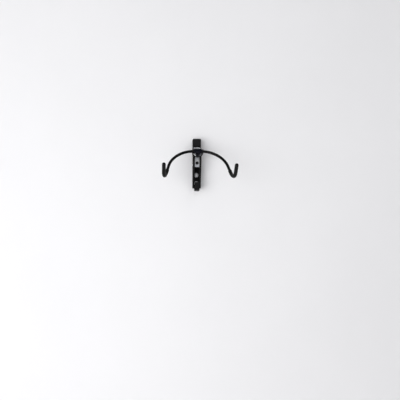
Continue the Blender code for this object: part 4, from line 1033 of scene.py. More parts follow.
def coated(look, settings, tint):
    """Make a painted, coated or moulded finish, which wears down to what is under it."""
    worn = getattr(settings, look.worn)
    finish = Finish(look, settings, shaded(tint, 0.8), shaded(tint, 1.25))
    edges = finish.wear_edges(shaded(worn), rougher=-0.12)
    finish.rub(shaded(worn, 0.6), rougher=0.15, patch=look.patch * 1.5)
    finish.settle_dust()
    bare = {"Metallic": edges} if look.worn == "bare_steel" else {}
    return finish.done(finish.grain(), **{"Specular IOR Level": look.specular}, **bare)


def metal(look, settings, tint):
    """Make a plated or blackened metal, with drawn streaks and a fine tumbled grain."""
    finish = Finish(look, settings, shaded(tint, 0.86, 0.88, 0.93), shaded(tint, 1.10, 1.09, 1.05))
    streaks = finish.rub(shaded(tint, look.mark_tint), rougher=0.0, patch=look.patch)
    finish.wear_edges(shaded(tint, look.edge_tint), rougher=-0.10)
    dull = maths(finish.tree, "SUBTRACT", 5, 6, 1.0, finish.settle_dust())
    finish.roughen(streaks, look.spread)
    height = finish.grain(Stretch=look.stretch)
    values = {"Metallic": maths(finish.tree, "MULTIPLY", 6, 6, dull, look.metallic)}
    if look.turned:
        centre = (0.0, 0.0, places(bpy.context.scene.bike_rack).swivel_z)
        rings = use_group(finish.tree, "Turned Rings", 10, {"Centre": centre})
        height = maths(finish.tree, "MULTIPLY_ADD", 5, 8, rings["Height"], 0.8, height)
        values["Tangent"] = add_node(
            finish.tree, "ShaderNodeTangent", 7, 6, direction_type="RADIAL", axis="Y",
        ).outputs[0]
        values["Anisotropic"] = look.turned
        values["Anisotropic Rotation"] = 0.25
    return finish.done(height, **values)


def moulded_nylon(look, settings, tint):
    """Make natural nylon with fine turned rings."""
    finish = Finish(look, settings, shaded(tint, 0.88), shaded(tint, 1.08))
    return finish.done(
        finish.grain(Stretch=look.stretch), **{"Subsurface Weight": 0.15, "Subsurface Scale": 0.002},
    )


def look(make, name, slot, colour, **values):
    """Give what a finish looks like; what isn't said is as on most finishes.

    patch, smudge, mark, peel and grain are scales of noise, for one metre. edge is the width
    of a worn edge. wear, marks and dust say how much there is, and height is the grain's depth.
    """
    usual = {
        "worn": "bare_steel", "metallic": 1.0, "turned": 0.0, "edge": 0.0006, "wear": 0.9,
        "wear_patch": 300.0, "edge_tint": 1.35, "stretch": (1.0, 1.0, 1.0), "mark": 1500.0,
        "mark_tint": 1.25, "dust": 0.8, "spread": 0.12, "peel": 700.0, "grain": 2600.0,
        "grain_share": 0.5,
    }
    return SimpleNamespace(make=make, name=name, slot=slot, colour=colour, **{**usual, **values})


FINISHES = {
    # Powder coat with a fine orange peel
    "powder_coat": look(
        coated, "black_powder_coat", "channel_steel", "powder_coat", patch=22.0, smudge=130.0, wear=0.55,
        stretch=(1.0, 1.0, 0.05), mark=1400.0, marks=0.10, dust=1.0, roughness=0.46, spread=0.10,
        specular=0.13, peel=620.0, grain=2400.0, grain_share=0.45, height=0.00009,
    ),
    # Smooth black coat on the bar and the loop
    "bar_coat": look(
        coated, "black_bar_coat", "bar_steel", "bar_coat", patch=26.0, smudge=150.0, edge=0.0005,
        wear=0.6, wear_patch=320.0, stretch=(0.06, 1.0, 1.0), marks=0.10, roughness=0.36,
        spread=0.10, specular=0.11, peel=520.0, grain=2400.0, grain_share=0.25, height=0.00005,
    ),
    # Blue-black paint over a fine casting
    "hub_paint": look(
        coated, "blue_black_hub_paint", "hub_casting", "hub_paint", patch=40.0, smudge=190.0, edge=0.0007,
        wear=0.6, wear_patch=380.0, stretch=(1.0, 1.0, 0.1), mark=1800.0, marks=0.07, dust=0.7,
        roughness=0.34, specular=0.10, peel=900.0, grain=2800.0, grain_share=0.35, height=0.00007,
    ),
    # Moulded plastic with an even spark-eroded grain
    "cap_plastic": look(
        coated, "black_moulded_plastic", "cap_plastic", "cap_plastic", worn="scuff", patch=35.0,
        smudge=170.0, edge=0.0008, wear=0.8, wear_patch=240.0, stretch=(0.2, 1.0, 1.0), mark=1200.0,
        marks=0.20, dust=1.0, roughness=0.52, spread=0.08, specular=0.16, peel=1500.0, grain=3600.0,
        grain_share=0.6, height=0.00008,
    ),
    # Soft rubber, matt and slightly rubbed
    "rubber": look(
        coated, "black_rubber", "rubber", "rubber", worn="scuff", patch=45.0, smudge=220.0,
        wear_patch=260.0, stretch=(1.0, 0.15, 1.0), mark=1300.0, marks=0.35, dust=1.0, roughness=0.62,
        spread=0.14, specular=0.13, peel=1100.0, grain=3200.0, grain_share=0.7, height=0.00010,
    ),
    # Natural nylon, waxy and slightly see-through
    "nylon": look(
        moulded_nylon, "natural_nylon", "nylon", "nylon", patch=60.0, smudge=260.0,
        stretch=(0.1, 1.0, 0.1), roughness=0.44, grain_share=0.4, height=0.00006,
    ),
    # Bright zinc plate, slightly cloudy and tumbled
    "zinc": look(
        metal, "zinc_plate", "zinc", "zinc", patch=42.0, smudge=240.0, stretch=(1.0, 1.0, 0.35),
        marks=0.5, roughness=0.30, height=0.00005,
    ),
    # The same plate on a face turned on a lathe
    "turned_zinc": look(
        metal, "turned_zinc_plate", "zinc", "zinc", turned=0.75, patch=60.0, smudge=240.0, marks=0.25,
        roughness=0.40, spread=0.08, height=0.00002,
    ),
    # Oiled black oxide on the dark bolts and screws
    "black_oxide": look(
        metal, "black_oxide", "black_oxide", "black_oxide", metallic=0.85, patch=90.0, smudge=420.0,
        edge=0.0004, wear=1.0, edge_tint=4.5, mark=2200.0, marks=0.35, mark_tint=2.2, dust=0.6,
        roughness=0.36, peel=1500.0, grain=4200.0, height=0.00003,
    ),
}
MADE_FINISHES = {}


def finish_of(name):
    """Give a finish, made when the first piece asks for it."""
    if name not in MADE_FINISHES:
        look, settings = FINISHES[name], bpy.context.scene.bike_rack.finish
        MADE_FINISHES[name] = look.make(look, settings, getattr(settings, look.colour))
    return MADE_FINISHES[name]


# ---------------- pieces fixed to the wall

def measured(context, part):
    """Give the rack's settings, the places from them, and one part's sizes."""
    rack = context.scene.bike_rack
    return rack, places(rack), getattr(rack, part)


def folded_strip(half, inside, mouth, back, inner, bend):
    """Give a strip with two folds, seen from above, from its open mouth to its back."""
    inner_bend = bend - (half - inside)
    return rounded([
        (-half, mouth, 0), (-half, back, bend), (half, back, bend), (half, mouth, 0),
        (inside, mouth, 0), (inside, inner, inner_bend),
        (-inside, inner, inner_bend), (-inside, mouth, 0),
    ])


def round_topped(half, foot, top, corner, near, far):
    """Give the trim of a piece whose two upper corners are round, seen from the front."""
    outline = [(-half, foot, 0), (half, foot, 0), (half, top, corner), (-half, top, corner)]
    return "INTERSECT", prism(rounded(outline), front, near, far)


def on_both_hands(inner, outer):
    """Give the spans between two distances from the middle, on both hands."""
    return [sorted((hand * inner, hand * outer)) for hand in HANDS.values()]


def rivet_holes(rack, at):
    """Give the cutters of the rivets' holes."""
    bm = bmesh.new()
    half = rack.channel.width
    for _, z in at.rivets:
        sweep(bm, from_middle(at.rivet_depth, z), pin(-half, half, rack.saddle.rivet / 2 + at.gap))
    return bm


class RACK_OT_wall_channel(Operator):
    """Fold the channel from a strip: a back and two stepped sides, turned in below the hub"""
    bl_idname = "rack.wall_channel"
    bl_label = "Wall Channel"

    def execute(self, context):
        rack, at, sizes = measured(context, "channel")
        half = sizes.width / 2
        inside = at.channel_inside / 2
        deep = at.hub_depth + sizes.lip
        below = at.foot - sizes.wall
        section = folded_strip(half, inside, deep, 0, sizes.wall, sizes.bend)
        strip = prism(section, out, below, at.top + sizes.wall)
        waist = at.fold_z - sizes.waist
        trim = prism(rounded([
            (-sizes.wall, at.foot, 0), (-sizes.wall, at.top, 0),
            (sizes.top_depth, at.top, sizes.corner), (sizes.top_depth, at.shoulder, sizes.corner),
            (at.hub_depth, at.shoulder - sizes.shoulder_rise, sizes.corner),
            (at.hub_depth, waist, sizes.corner), (sizes.foot_depth, at.foot, sizes.corner),
        ]), side, -sizes.width, sizes.width)
        lean = (at.hub_depth - sizes.foot_depth) / (waist - at.foot)
        leaning_wall = sizes.wall * hypot(1, lean)
        edge_strip = [
            (at.hub_depth - sizes.wall, at.turn_in_top), (deep, at.turn_in_top), (deep, below),
            (at.hub_depth - leaning_wall - lean * (waist - below), below),
            (at.hub_depth - sizes.wall, waist + (leaning_wall - sizes.wall) / lean),
        ]
        spans = on_both_hands(inside - sizes.turn_in, half - sizes.wall / 2)
        edges = [("UNION", prism(edge_strip, side, near, far)) for near, far in spans]
        holes = rivet_holes(rack, at)
        for _, z, _ in at.screws:
            sweep(holes, from_wall(0, z), pin(-sizes.wall, 2 * sizes.wall, at.screw_hole))
        bm = carved(strip, *edges, ("INTERSECT", trim), ("DIFFERENCE", holes))
        everything = [*bm.verts, *bm.edges, *bm.faces]
        bmesh.ops.bisect_plane(
            bm, geom=everything, plane_co=(0, 0, at.turn_in_top), plane_no=(0, 0, 1), dist=WELD,
        )

        def fold_line(point):
            """Tell whether a point is on the outer corner of a turned-in edge."""
            front_edge = at.hub_depth - max(0.0, waist - point.z) * lean - sizes.corner
            outermost = abs(point.x) > half - at.gap and -point.y > front_edge
            return outermost and point.z < at.turn_in_top + at.gap

        soften(bm, sizes.edge, lambda edge: not both_ends(edge, fold_line))
        soften(bm, sizes.fold, lambda edge: both_ends(edge, fold_line), BROAD_SEGMENTS)
        finish_piece("wall_channel", bm, "powder_coat")
        return {"FINISHED"}


class RACK_OT_top_cap(Operator):
    """Mould the cap: a face and a top in one bent shell, with two ribs that grip the channel"""
    bl_idname = "rack.top_cap"
    bl_label = "Top Cap"

    def execute(self, context):
        rack, at, sizes = measured(context, "cap")
        half = rack.channel.width / 2
        inner_front = rack.channel.top_depth + at.gap
        outer_front = inner_front + sizes.wall
        inner_top = at.top + at.gap
        bend = rack.channel.corner + sizes.wall
        shell = prism(rounded([
            (at.gap, at.cap_top, 0), (outer_front, at.cap_top, bend), (outer_front, at.cap_foot, 0),
            (inner_front, at.cap_foot, 0), (inner_front, inner_top, rack.channel.corner),
            (at.gap, inner_top, 0),
        ]), side, -half - sizes.wall, half + sizes.wall)
        foot = at.cap_foot - sizes.wall
        far = outer_front + sizes.wall
        bm = carved(shell, round_topped(half, foot, at.cap_top, sizes.corner, -sizes.wall, far))

        def outside(point):
            """Tell whether a point is on the shell's outer skin."""
            over = -point.y - (outer_front - bend)
            above = point.z - (at.cap_top - bend)
            reach = hypot(over, above) if over > 0 and above > 0 else max(over, above)
            return reach > bend - sizes.wall / 2

        soften(bm, sizes.edge, lambda edge: not both_ends(edge, outside))
        soften(bm, sizes.round, lambda edge: both_ends(edge, outside), BROAD_SEGMENTS)
        rib_outside = at.channel_inside / 2 - at.gap
        rib_top = inner_top - 2 * rack.channel.corner
        rib_foot = rib_top - sizes.rib_height + rack.channel.corner
        back = inner_front - sizes.rib_depth
        root = inner_front + sizes.wall / 2
        ribs = []
        for near, far in on_both_hands(rib_outside - sizes.rib_wall, rib_outside):
            rib = prism([(near, back), (far, back), (far, root), (near, root)], out, rib_foot, rib_top)
            soften(rib, sizes.edge, lambda edge: both_ends(edge, lambda point: -point.y < inner_front))
            ribs.append(("UNION", rib))
        finish_piece("top_cap", carved(bm, *ribs), "cap_plastic")
        return {"FINISHED"}


class RACK_OT_saddle(Operator):
    """Fold the saddle: a face between two sides that stand inside the channel"""
    bl_idname = "rack.saddle"
    bl_label = "Saddle Bracket"

    def execute(self, context):
        rack, at, sizes = measured(context, "saddle")
        section = folded_strip(
            at.saddle_width / 2, at.saddle_inside / 2, sizes.depth - sizes.side, sizes.depth,
            at.saddle_back_face, sizes.bend,
        )
        strip = prism(section, out, at.fold_z - sizes.below, at.fold_z + sizes.above)
        holes = rivet_holes(rack, at)
        low = at.saddle_back_face - sizes.wall
        high = sizes.depth + sizes.wall
        for z, bolt in ((at.swivel_z, rack.swivel.bolt), (at.tie_z, sizes.bolt)):
            sweep(holes, from_wall(0, z), pin(low, high, bolt / 2 + at.gap))
        finish_piece("saddle_bracket", soften(carved(strip, ("DIFFERENCE", holes)), sizes.edge), "zinc")
        return {"FINISHED"}


class RACK_OT_rivets(Operator):
    """Set the four rivets that join the saddle to the channel"""
    bl_idname = "rack.rivets"
    bl_label = "Saddle Rivets"

    def execute(self, context):
        rack, at, sizes = measured(context, "saddle")
        seat = rack.channel.width / 2 + at.gap
        tail_seat = at.saddle_inside / 2 - at.gap
        head = sizes.rivet_head / 2
        tail = sizes.rivet_tail / 2
        stations = [(seat + sizes.rivet_rise, 0)]
        stations += [
            (seat + sizes.rivet_rise * cos(turn), head * sin(turn))
            for turn in quarter(RIVET_HEAD_STEPS)[1:-1]
        ]
        stations += [(seat, head), (seat, sizes.rivet / 2), (tail_seat, sizes.rivet / 2)]
        stations += [
            (tail_seat - sizes.rivet_tail_rise * sin(turn), tail * cos(turn) ** 0.5)
            for turn in quarter(RIVET_TAIL_STEPS)[:-1]
        ]
        stations.append((tail_seat - sizes.rivet_tail_rise, 0))
        for row, z in at.rivets:
            for name, hand in HANDS.items():
                run = from_middle(at.rivet_depth, z, hand)
                turn_piece(f"saddle_rivet_{row}_{name}", run, stations, "zinc")
        return {"FINISHED"}


class RACK_OT_tie_bolt(Operator):
    """Turn the knurled socket bolt that ties the saddle to the channel, its nut and its spacer"""
    bl_idname = "rack.tie_bolt"
    bl_label = "Tie Bolt, Nut and Spacer"

    def execute(self, context):
        rack, at, sizes = measured(context, "saddle")
        run = from_wall(0, at.tie_z)
        seat = sizes.depth + at.gap
        top = seat + sizes.bolt_rise
        radius = sizes.bolt / 2
        head = sizes.bolt_head / 2
        edge = sizes.bolt_edge
        start = rack.channel.wall + at.gap
        knurl = knurled(head, sizes.knurl)
        socket = hexagon(sizes.bolt_socket / 2)
        floor = top - sizes.bolt_socket_depth
        stations = [(start, 0), (start, radius - edge / 2)]
        high = seat - sizes.bolt
        stations += thread(start + edge / 2, high, radius, edge / 2, sizes.bolt_pitch, BOLT_TOOTH)
        stations += [
            (seat, radius), (seat, head - edge / 2), (seat + edge / 2, head), (seat + edge, knurl),
            (top - 2 * edge, knurl), (top - 1.6 * edge, head - sizes.knurl),
        ]
        stations += head_rim(top, head - sizes.knurl, edge)[1:]
        stations += [(top, sizes.bolt_socket / 2 + edge / 3), (top - edge / 3, socket)]
        stations += [(floor, socket), (floor, 0)]
        turn_piece("tie_bolt", run, stations, "black_oxide", KNURL_SIDES)

        bore = radius + at.gap
        across = sizes.nut / 2
        low_nut = start + sizes.nut_height
        nut = [
            (start, bore), (start, crowned(across, across - edge)), (start + edge / 2, hexagon(across)),
            *crown(across, edge / 2, low_nut), (low_nut, bore),
        ]
        turn_piece("tie_nut", run, nut, "zinc", closed=True)

        outside = bore + sizes.spacer_wall
        tube = ring(low_nut + at.gap, at.saddle_back_face - at.gap, bore, outside, edge / 2)
        turn_piece("tie_spacer", run, tube, "zinc", closed=True)
        return {"FINISHED"}


class RACK_OT_bearing(Operator):
    """Turn the boss on the saddle's face, and the flanged bush inside it"""
    bl_idname = "rack.bearing"
    bl_label = "Bearing Boss and Swivel Bush"

    def execute(self, context):
        _, at, sizes = measured(context, "swivel")
        run = from_wall(0, at.swivel_z)
        bore = sizes.bolt / 2 + at.gap
        body = bore + sizes.bush_wall
        boss = ring(at.boss_back, at.boss_front, body + at.gap, sizes.boss / 2, sizes.boss_edge)
        turn_piece("bearing_boss", run, boss, "zinc", BIG_SIDES, closed=True)

        flange = sizes.flange_width / 2
        flange_back = at.boss_front + at.gap
        bush = rounded([
            (at.boss_back, bore, 0), (at.boss_back, body, FINE_EDGE), (flange_back, body, 0),
            (flange_back, flange, BROKEN_EDGE), (at.flange_front, flange, EASED_EDGE),
            (at.flange_front, bore, BROKEN_EDGE),
        ])
        turn_piece("swivel_bush", run, bush, "nylon", BIG_SIDES, closed=True)
        return {"FINISHED"}


class RACK_OT_wall_screws(Operator):
    """Turn the three hexagon headed screws into the wall, with their threads and washers"""
    bl_idname = "rack.wall_screws"
    bl_label = "Wall Screws and Washers"

    def execute(self, context):
        _, at, sizes = measured(context, "wall_screw")
        radius = sizes.diameter / 2
        across = sizes.head / 2
        tip = -sizes.in_wall
        for row, z, seat_depth in at.screws:
            run = from_wall(0, z)
            low = seat_depth + at.gap
            seat = low + sizes.washer + at.gap
            stations = [(tip, 0)]
            stations += [
                (distance, pointed(reach, min(1.0, (distance - tip) / sizes.point) ** POINT_FULLNESS))
                for distance, reach in thread(
                    tip, -sizes.shank, radius, sizes.thread, sizes.pitch, SCREW_TOOTH,
                )[1:]
            ]
            stations += [
                (seat, radius), (seat, crowned(across, across - sizes.chamfer)),
                (seat + sizes.chamfer / 2, hexagon(across)),
            ]
            top = seat + sizes.head_rise
            stations += crown(across, sizes.chamfer, top) + [(top, 0)]
            turn_piece(f"wall_screw_{row}", run, stations, "zinc")
            bore, outside = radius + at.gap, sizes.washer_width / 2
            washer = ring(low, low + sizes.washer, bore, outside, sizes.washer / 4)
            turn_piece(f"wall_washer_{row}", run, washer, "zinc", closed=True)
        return {"FINISHED"}


def helmet_strap_line(rack, at):
    """Give the strap's centre line from the side, with the bends' radii."""
    sizes = rack.helmet_hook
    centre = at.strap_back + sizes.strap / 2
    bottom = at.foot - sizes.below
    return [
        (centre, at.middle_screw + sizes.above, 0), (centre, bottom, sizes.bend),
        (sizes.reach, bottom, sizes.bend), (sizes.reach + sizes.lean, bottom + sizes.rise, 0),
    ]


def strap_outline(line, thickness):
    """Give the outline of a bent strap, by pushing its line to both sides."""
    half = thickness / 2
    points = [Vector(corner[:2]) for corner in line]
    ways = [(end - start).normalized() for start, end in zip(points, points[1:])]
    outer = []
    inner = []
    for index, (here, (_, _, radius)) in enumerate(zip(points, line)):
        before = ways[max(index - 1, 0)]
        after = ways[min(index, len(ways) - 1)]
        across = Vector((-before.y, before.x))
        normal = (across + Vector((-after.y, after.x))).normalized()
        push = normal * (half / normal.dot(across))
        outer.append((*(here - push), radius + half if radius else 0))
        inner.append((*(here + push), radius - half if radius else 0))
    return rounded(outer + inner[::-1])


class RACK_OT_helmet_hook(Operator):
    """Bend the strap that hangs below the channel and turns up as a hook"""
    bl_idname = "rack.helmet_hook"
    bl_label = "Helmet Hook"

    def execute(self, context):
        rack, at, sizes = measured(context, "helmet_hook")
        half = sizes.width / 2
        line = helmet_strap_line(rack, at)
        strap = prism(strap_outline(line, sizes.strap), side, -half, half)
        top = line[0][1]
        foot = line[1][1] - sizes.strap
        trim = round_topped(half, foot, top, sizes.corner, 0, sizes.reach + 2 * sizes.lean)
        holes = bmesh.new()
        low = at.strap_back - sizes.strap
        high = at.strap_front + sizes.strap
        for z in (at.middle_screw, at.low_screw):
            sweep(holes, from_wall(0, z), pin(low, high, at.screw_hole))
        bm = soften(carved(strap, trim, ("DIFFERENCE", holes)), sizes.edge)
        finish_piece("helmet_hook", bm, "powder_coat")
        return {"FINISHED"}


class RACK_OT_helmet_hook_tip(Operator):
    """Mould the rubber cap over the end of the helmet hook"""
    bl_idname = "rack.helmet_hook_tip"
    bl_label = "Helmet Hook Tip"

    def execute(self, context):
        rack, at, sizes = measured(context, "helmet_hook")
        before, end = (Vector(corner[:2]) for corner in helmet_strap_line(rack, at)[-2:])
        along = (end - before).normalized()
        normal = Vector((-along.y, along.x))
        mouth = end - along * sizes.tip

        def slab(near, far, half):
            """Give a rectangle that follows the lip."""
            return [near - normal * half, far - normal * half, far + normal * half, near + normal * half]

        def at_mouth(point):
            """Tell whether a point is near the tip's open end."""
            return (Vector((-point.y, point.z)) - mouth).dot(along) < sizes.tip / 4

        pocket_half = sizes.strap / 2 + at.gap
        side_half = sizes.width / 2 + at.gap
        outer_side = side_half + sizes.tip_wall
        cover = slab(mouth, end + along * (sizes.tip_wall + at.gap), pocket_half + sizes.tip_wall)
        bm = prism(cover, side, -outer_side, outer_side)
        soften(bm, sizes.tip_round, lambda edge: not both_ends(edge, at_mouth), BROAD_SEGMENTS)
        hollow = slab(mouth - along * sizes.tip_wall, end + along * at.gap, pocket_half)
        pocket = prism(hollow, side, -side_half, side_half)
        bm = soften(carved(bm, ("DIFFERENCE", pocket)), FINE_EDGE, lambda edge: both_ends(edge, at_mouth))
        finish_piece("helmet_hook_tip", bm, "rubber")
        return {"FINISHED"}


# ---------------- pieces that swivel

def plate_screw_runs(rack, at):
    """Give the two paths of the screws that hold the swivel plate to the hub."""
    z = at.fold_z + rack.swivel.screw_above
    return [from_wall(hand * rack.swivel.screw_side, z) for hand in HANDS.values()]


class RACK_OT_swivel_plate(Operator):
    """Turn the round plate that the hub stands on, and the two screws that hold it"""
    bl_idname = "rack.swivel_plate"
    bl_label = "Swivel Plate and Screws"

    def execute(self, context):
        rack, at, sizes = measured(context, "swivel")
        bore = sizes.bolt / 2 + at.gap
        disc = rounded([
            (at.plate_back, bore, 0), (at.plate_back, at.plate_radius, sizes.edge),
            (at.plate_front, at.plate_radius, sizes.edge), (at.plate_front, bore, 0),
        ])
        plate = swept(from_wall(0, at.swivel_z), disc, BIG_SIDES, closed=True)
        low = at.plate_back + at.gap
        seat = low + sizes.screw_rise
        radius = sizes.screw / 2
        head = sizes.screw_head / 2
        holes = bmesh.new()
        for run in plate_screw_runs(rack, at):
            sweep(holes, run, stepped_pin(
                at.plate_back - sizes.edge, seat + at.gap, at.plate_front + sizes.edge,
                head + at.gap, radius + at.gap,
            ))
        finish_piece("swivel_plate", carved(plate, ("DIFFERENCE", holes)), "turned_zinc")

        end = at.hub_back + sizes.screw_bite
        floor = low + sizes.screw_rise / 2
        socket = hexagon(head * SMALL_SOCKET)
        stations = [
            (floor, 0), (floor, socket), (low + SOCKET_RIM, socket), (low, head * SMALL_SOCKET_RIM),
            (low, head - EASED_EDGE), (low + EASED_EDGE, head), (seat, head), (seat, radius),
            (end - EASED_EDGE, radius), (end, radius - EASED_EDGE), (end, 0),
        ]
        for name, run in zip(HANDS, plate_screw_runs(rack, at)):
            turn_piece(f"plate_screw_{name}", run, stations, "black_oxide")
        return {"FINISHED"}


def hub_outline(rack, at, top):
    """Give the hub's shape from the front, which runs in to a rounded nose."""
    sizes = rack.hub
    shoulder = at.fold_z - sizes.shoulder_drop
    nose = at.fold_z - sizes.nose_drop
    half_nose = sizes.nose_width / 2
    return rounded([
        (-at.hub_half, top, 0), (-at.hub_half, shoulder, sizes.shoulder_round),
        (-half_nose, nose, sizes.nose_round), (half_nose, nose, sizes.nose_round),
        (at.hub_half, shoulder, sizes.shoulder_round), (at.hub_half, top, 0),
    ])


def bar_bore(rack, at):
    """Give the cut of the hub's bore for the bushes."""
    reach = rack.hub.width
    return "DIFFERENCE", swept(from_middle(at.fold_depth, at.fold_z), pin(-reach, reach, at.hub_bore))


class RACK_OT_hub(Operator):
    """Cast the hub's two halves, drawn in to the nose, and turn the cover's screw"""
    bl_idname = "rack.hub"
    bl_label = "Hub Base, Cover and Screw"

    def execute(self, context):
        parts = measured(context, "hub")
        self.make_base(*parts)
        self.make_cover(*parts)
        self.make_screw(*parts)
        return {"FINISHED"}

    def make_base(self, rack, at, sizes):
        """Cast the rear half, with its bore and the seats of its bolt and screws."""
        swivel = rack.swivel
        outline = hub_outline(rack, at, at.fold_z + at.hub_round)
        base = prism(outline, front, at.hub_back, at.fold_depth - at.gap / 2)
        pocket = swept(from_wall(0, at.swivel_z), stepped_pin(
            at.plate_front, at.bolt_seat, at.fold_depth,
            swivel.bolt / 2 + at.gap, swivel.bolt_head / 2 + at.gap,
        ))
        holes = bmesh.new()
        for run in plate_screw_runs(rack, at):
            end = at.hub_back + swivel.screw_bite + at.gap
            sweep(holes, run, pin(at.plate_front, end, swivel.screw / 2 + at.gap))
        start = at.fold_depth - sizes.screw_bite - at.gap
        hole = pin(start, at.fold_depth + at.gap, sizes.screw / 2 + at.gap)
        sweep(holes, from_wall(0, at.cover_screw_z), hole)
        base = carved(base, bar_bore(rack, at), ("DIFFERENCE", pocket), ("DIFFERENCE", holes))

        def outside(point):
            """Tell whether a point is on the outline, away from the bores."""
            from_bar = hypot(-point.y - at.fold_depth, point.z - at.fold_z)
            inner = abs(point.x) < at.hub_half - sizes.edge and point.z > at.fold_z
            barrel = inner and point.z < at.fold_z + at.hub_bore
            return from_bar > at.hub_bore + sizes.edge and not barrel

        soften(base, sizes.edge, lambda edge: both_ends(edge, outside))
        finish_piece("hub_base", base, "hub_paint")

    def make_cover(self, rack, at, sizes):
        """Cast the front half, rounded over the bar and drawn in to the nose."""
        split = at.fold_depth + at.gap / 2
        far = at.fold_depth + at.hub_round + sizes.wall
        cover = prism(hub_outline(rack, at, at.fold_z + at.hub_round + sizes.wall), front, split, far)
        below = at.fold_z - sizes.nose_drop - sizes.wall
        profile = [(split - sizes.wall, below), (split - sizes.wall, at.fold_z + at.hub_round)]
        for fall in spread(pi / 2 + sizes.cheek, CHEEK_STEPS):
            depth = at.fold_depth + at.hub_round * cos(pi / 2 - fall)
            profile.append((depth, at.fold_z + at.hub_round * sin(pi / 2 - fall)))
        profile.append((at.fold_depth + sizes.nose_front, below))
        cover = carved(cover, ("INTERSECT", prism(profile, side, -sizes.width, sizes.width)))

        def in_front(point):
            """Tell whether a point is clear of the split, on the front."""
            return -point.y > split + sizes.edge

        def outer(edge):
            """Tell whether an edge runs round the front of the cover."""
            below_bar = both_ends(edge, lambda point: point.z < at.fold_z)
            behind = both_ends(edge, lambda point: -point.y < split + sizes.edge)
            return both_ends(edge, in_front) or (below_bar and not behind)

        soften(cover, sizes.round, outer, BROAD_SEGMENTS)
        hole = swept(from_wall(0, at.cover_screw_z), stepped_pin(
            at.fold_depth - sizes.wall, at.fold_depth + sizes.screw_seat, far,
            sizes.screw / 2 + at.gap, sizes.screw_head / 2 + at.gap,
        ))
        finish_piece("hub_cover", carved(cover, bar_bore(rack, at), ("DIFFERENCE", hole)), "hub_paint")

    def make_screw(self, rack, at, sizes):
        """Turn the screw that clamps the cover."""
        radius = sizes.screw / 2
        head = sizes.screw_head / 2
        seat = at.fold_depth + sizes.screw_seat + at.gap
        top = seat + sizes.screw_rise
        floor = top - sizes.socket_depth
        edge = rack.saddle.bolt_edge
        end = at.fold_depth - sizes.screw_bite
        socket = hexagon(sizes.socket / 2)
        stations = [
            (end, 0), (end, radius - edge / 2), (end + edge / 2, radius),
            (seat, radius), (seat, head - edge / 4), (seat + edge / 4, head), *head_rim(top, head, edge),
            (top, sizes.socket / 2 + edge / 4), (top - edge / 4, socket), (floor, socket), (floor, 0),
        ]
        turn_piece("cover_screw", from_wall(0, at.cover_screw_z), stations, "black_oxide")


class RACK_OT_swivel_bolt(Operator):
    """Turn the bolt that the hub, plate and bar swing on, with its washer and its locking nut"""
    bl_idname = "rack.swivel_bolt"
    bl_label = "Swivel Bolt, Washer and Nut"

    def execute(self, context):
        rack, at, sizes = measured(context, "swivel")
        run = from_wall(0, at.swivel_z)
        radius = sizes.bolt / 2
        head = sizes.bolt_head / 2
        edge = rack.saddle.bolt_edge
        washer_high = at.saddle_back_face - at.gap
        nut_high = washer_high - sizes.washer - at.gap
        nut_low = nut_high - sizes.nut_height
        low = nut_low - sizes.bolt_end
        seat = at.bolt_head_back
        top = seat + sizes.bolt_rise
        stations = [(low, 0), (low, radius - edge)]
        stations += thread(low + edge, washer_high, radius, sizes.thread, sizes.pitch, BOLT_TOOTH)
        stations += [
            (seat, radius), (seat, head - edge / 2), (seat + edge / 2, head),
            (top - edge / 2, head), (top, head - edge / 2), (top, 0),
        ]
        turn_piece("swivel_bolt", run, stations, "black_oxide")

        bore = radius + at.gap
        outside = at.saddle_inside / 2 - at.saddle_bend - sizes.washer_clearance
        washer = ring(washer_high - sizes.washer, washer_high, bore, outside, edge / 2)
        turn_piece("swivel_washer", run, washer, "zinc", closed=True)

        across = at.saddle_inside / 2 - sizes.nut_clearance
        body_low = nut_low + sizes.nut_height * COLLAR_HEIGHT
        collar = across * COLLAR_WIDTH
        nut = [
            (nut_low, bore + edge / 2), (nut_low, collar - edge), (nut_low + edge, collar),
            (body_low - edge / 2, collar), (body_low, crowned(across, across - 2 * edge)),
            (body_low + edge, hexagon(across)), *crown(across, edge, nut_high), (nut_high, bore),
        ]
        turn_piece("swivel_nut", run, nut, "zinc", closed=True)
        return {"FINISHED"}


class RACK_OT_bar_bushes(Operator):
    """Turn the two flanged plastic bushes that the bar turns in"""
    bl_idname = "rack.bar_bushes"
    bl_label = "Bar Bushes"

    def execute(self, context):
        _, at, sizes = measured(context, "hub")
        flange_inside = at.hub_half + at.gap
        start = sizes.bush_gap / 2
        flange = sizes.flange_width / 2
        outline = rounded([
            (start, at.bush_bore, 0), (start, at.bush_radius, BROKEN_EDGE),
            (flange_inside, at.bush_radius, 0), (flange_inside, flange, BROKEN_EDGE),
            (at.bush_end, flange, EASED_EDGE), (at.bush_end, at.bush_bore, BROKEN_EDGE),
        ])
        for name, hand in HANDS.items():
            run = from_middle(at.fold_depth, at.fold_z, hand)
            turn_piece(f"bar_bush_{name}", run, outline, "cap_plastic", closed=True)
        return {"FINISHED"}


# ---------------- pieces that fold

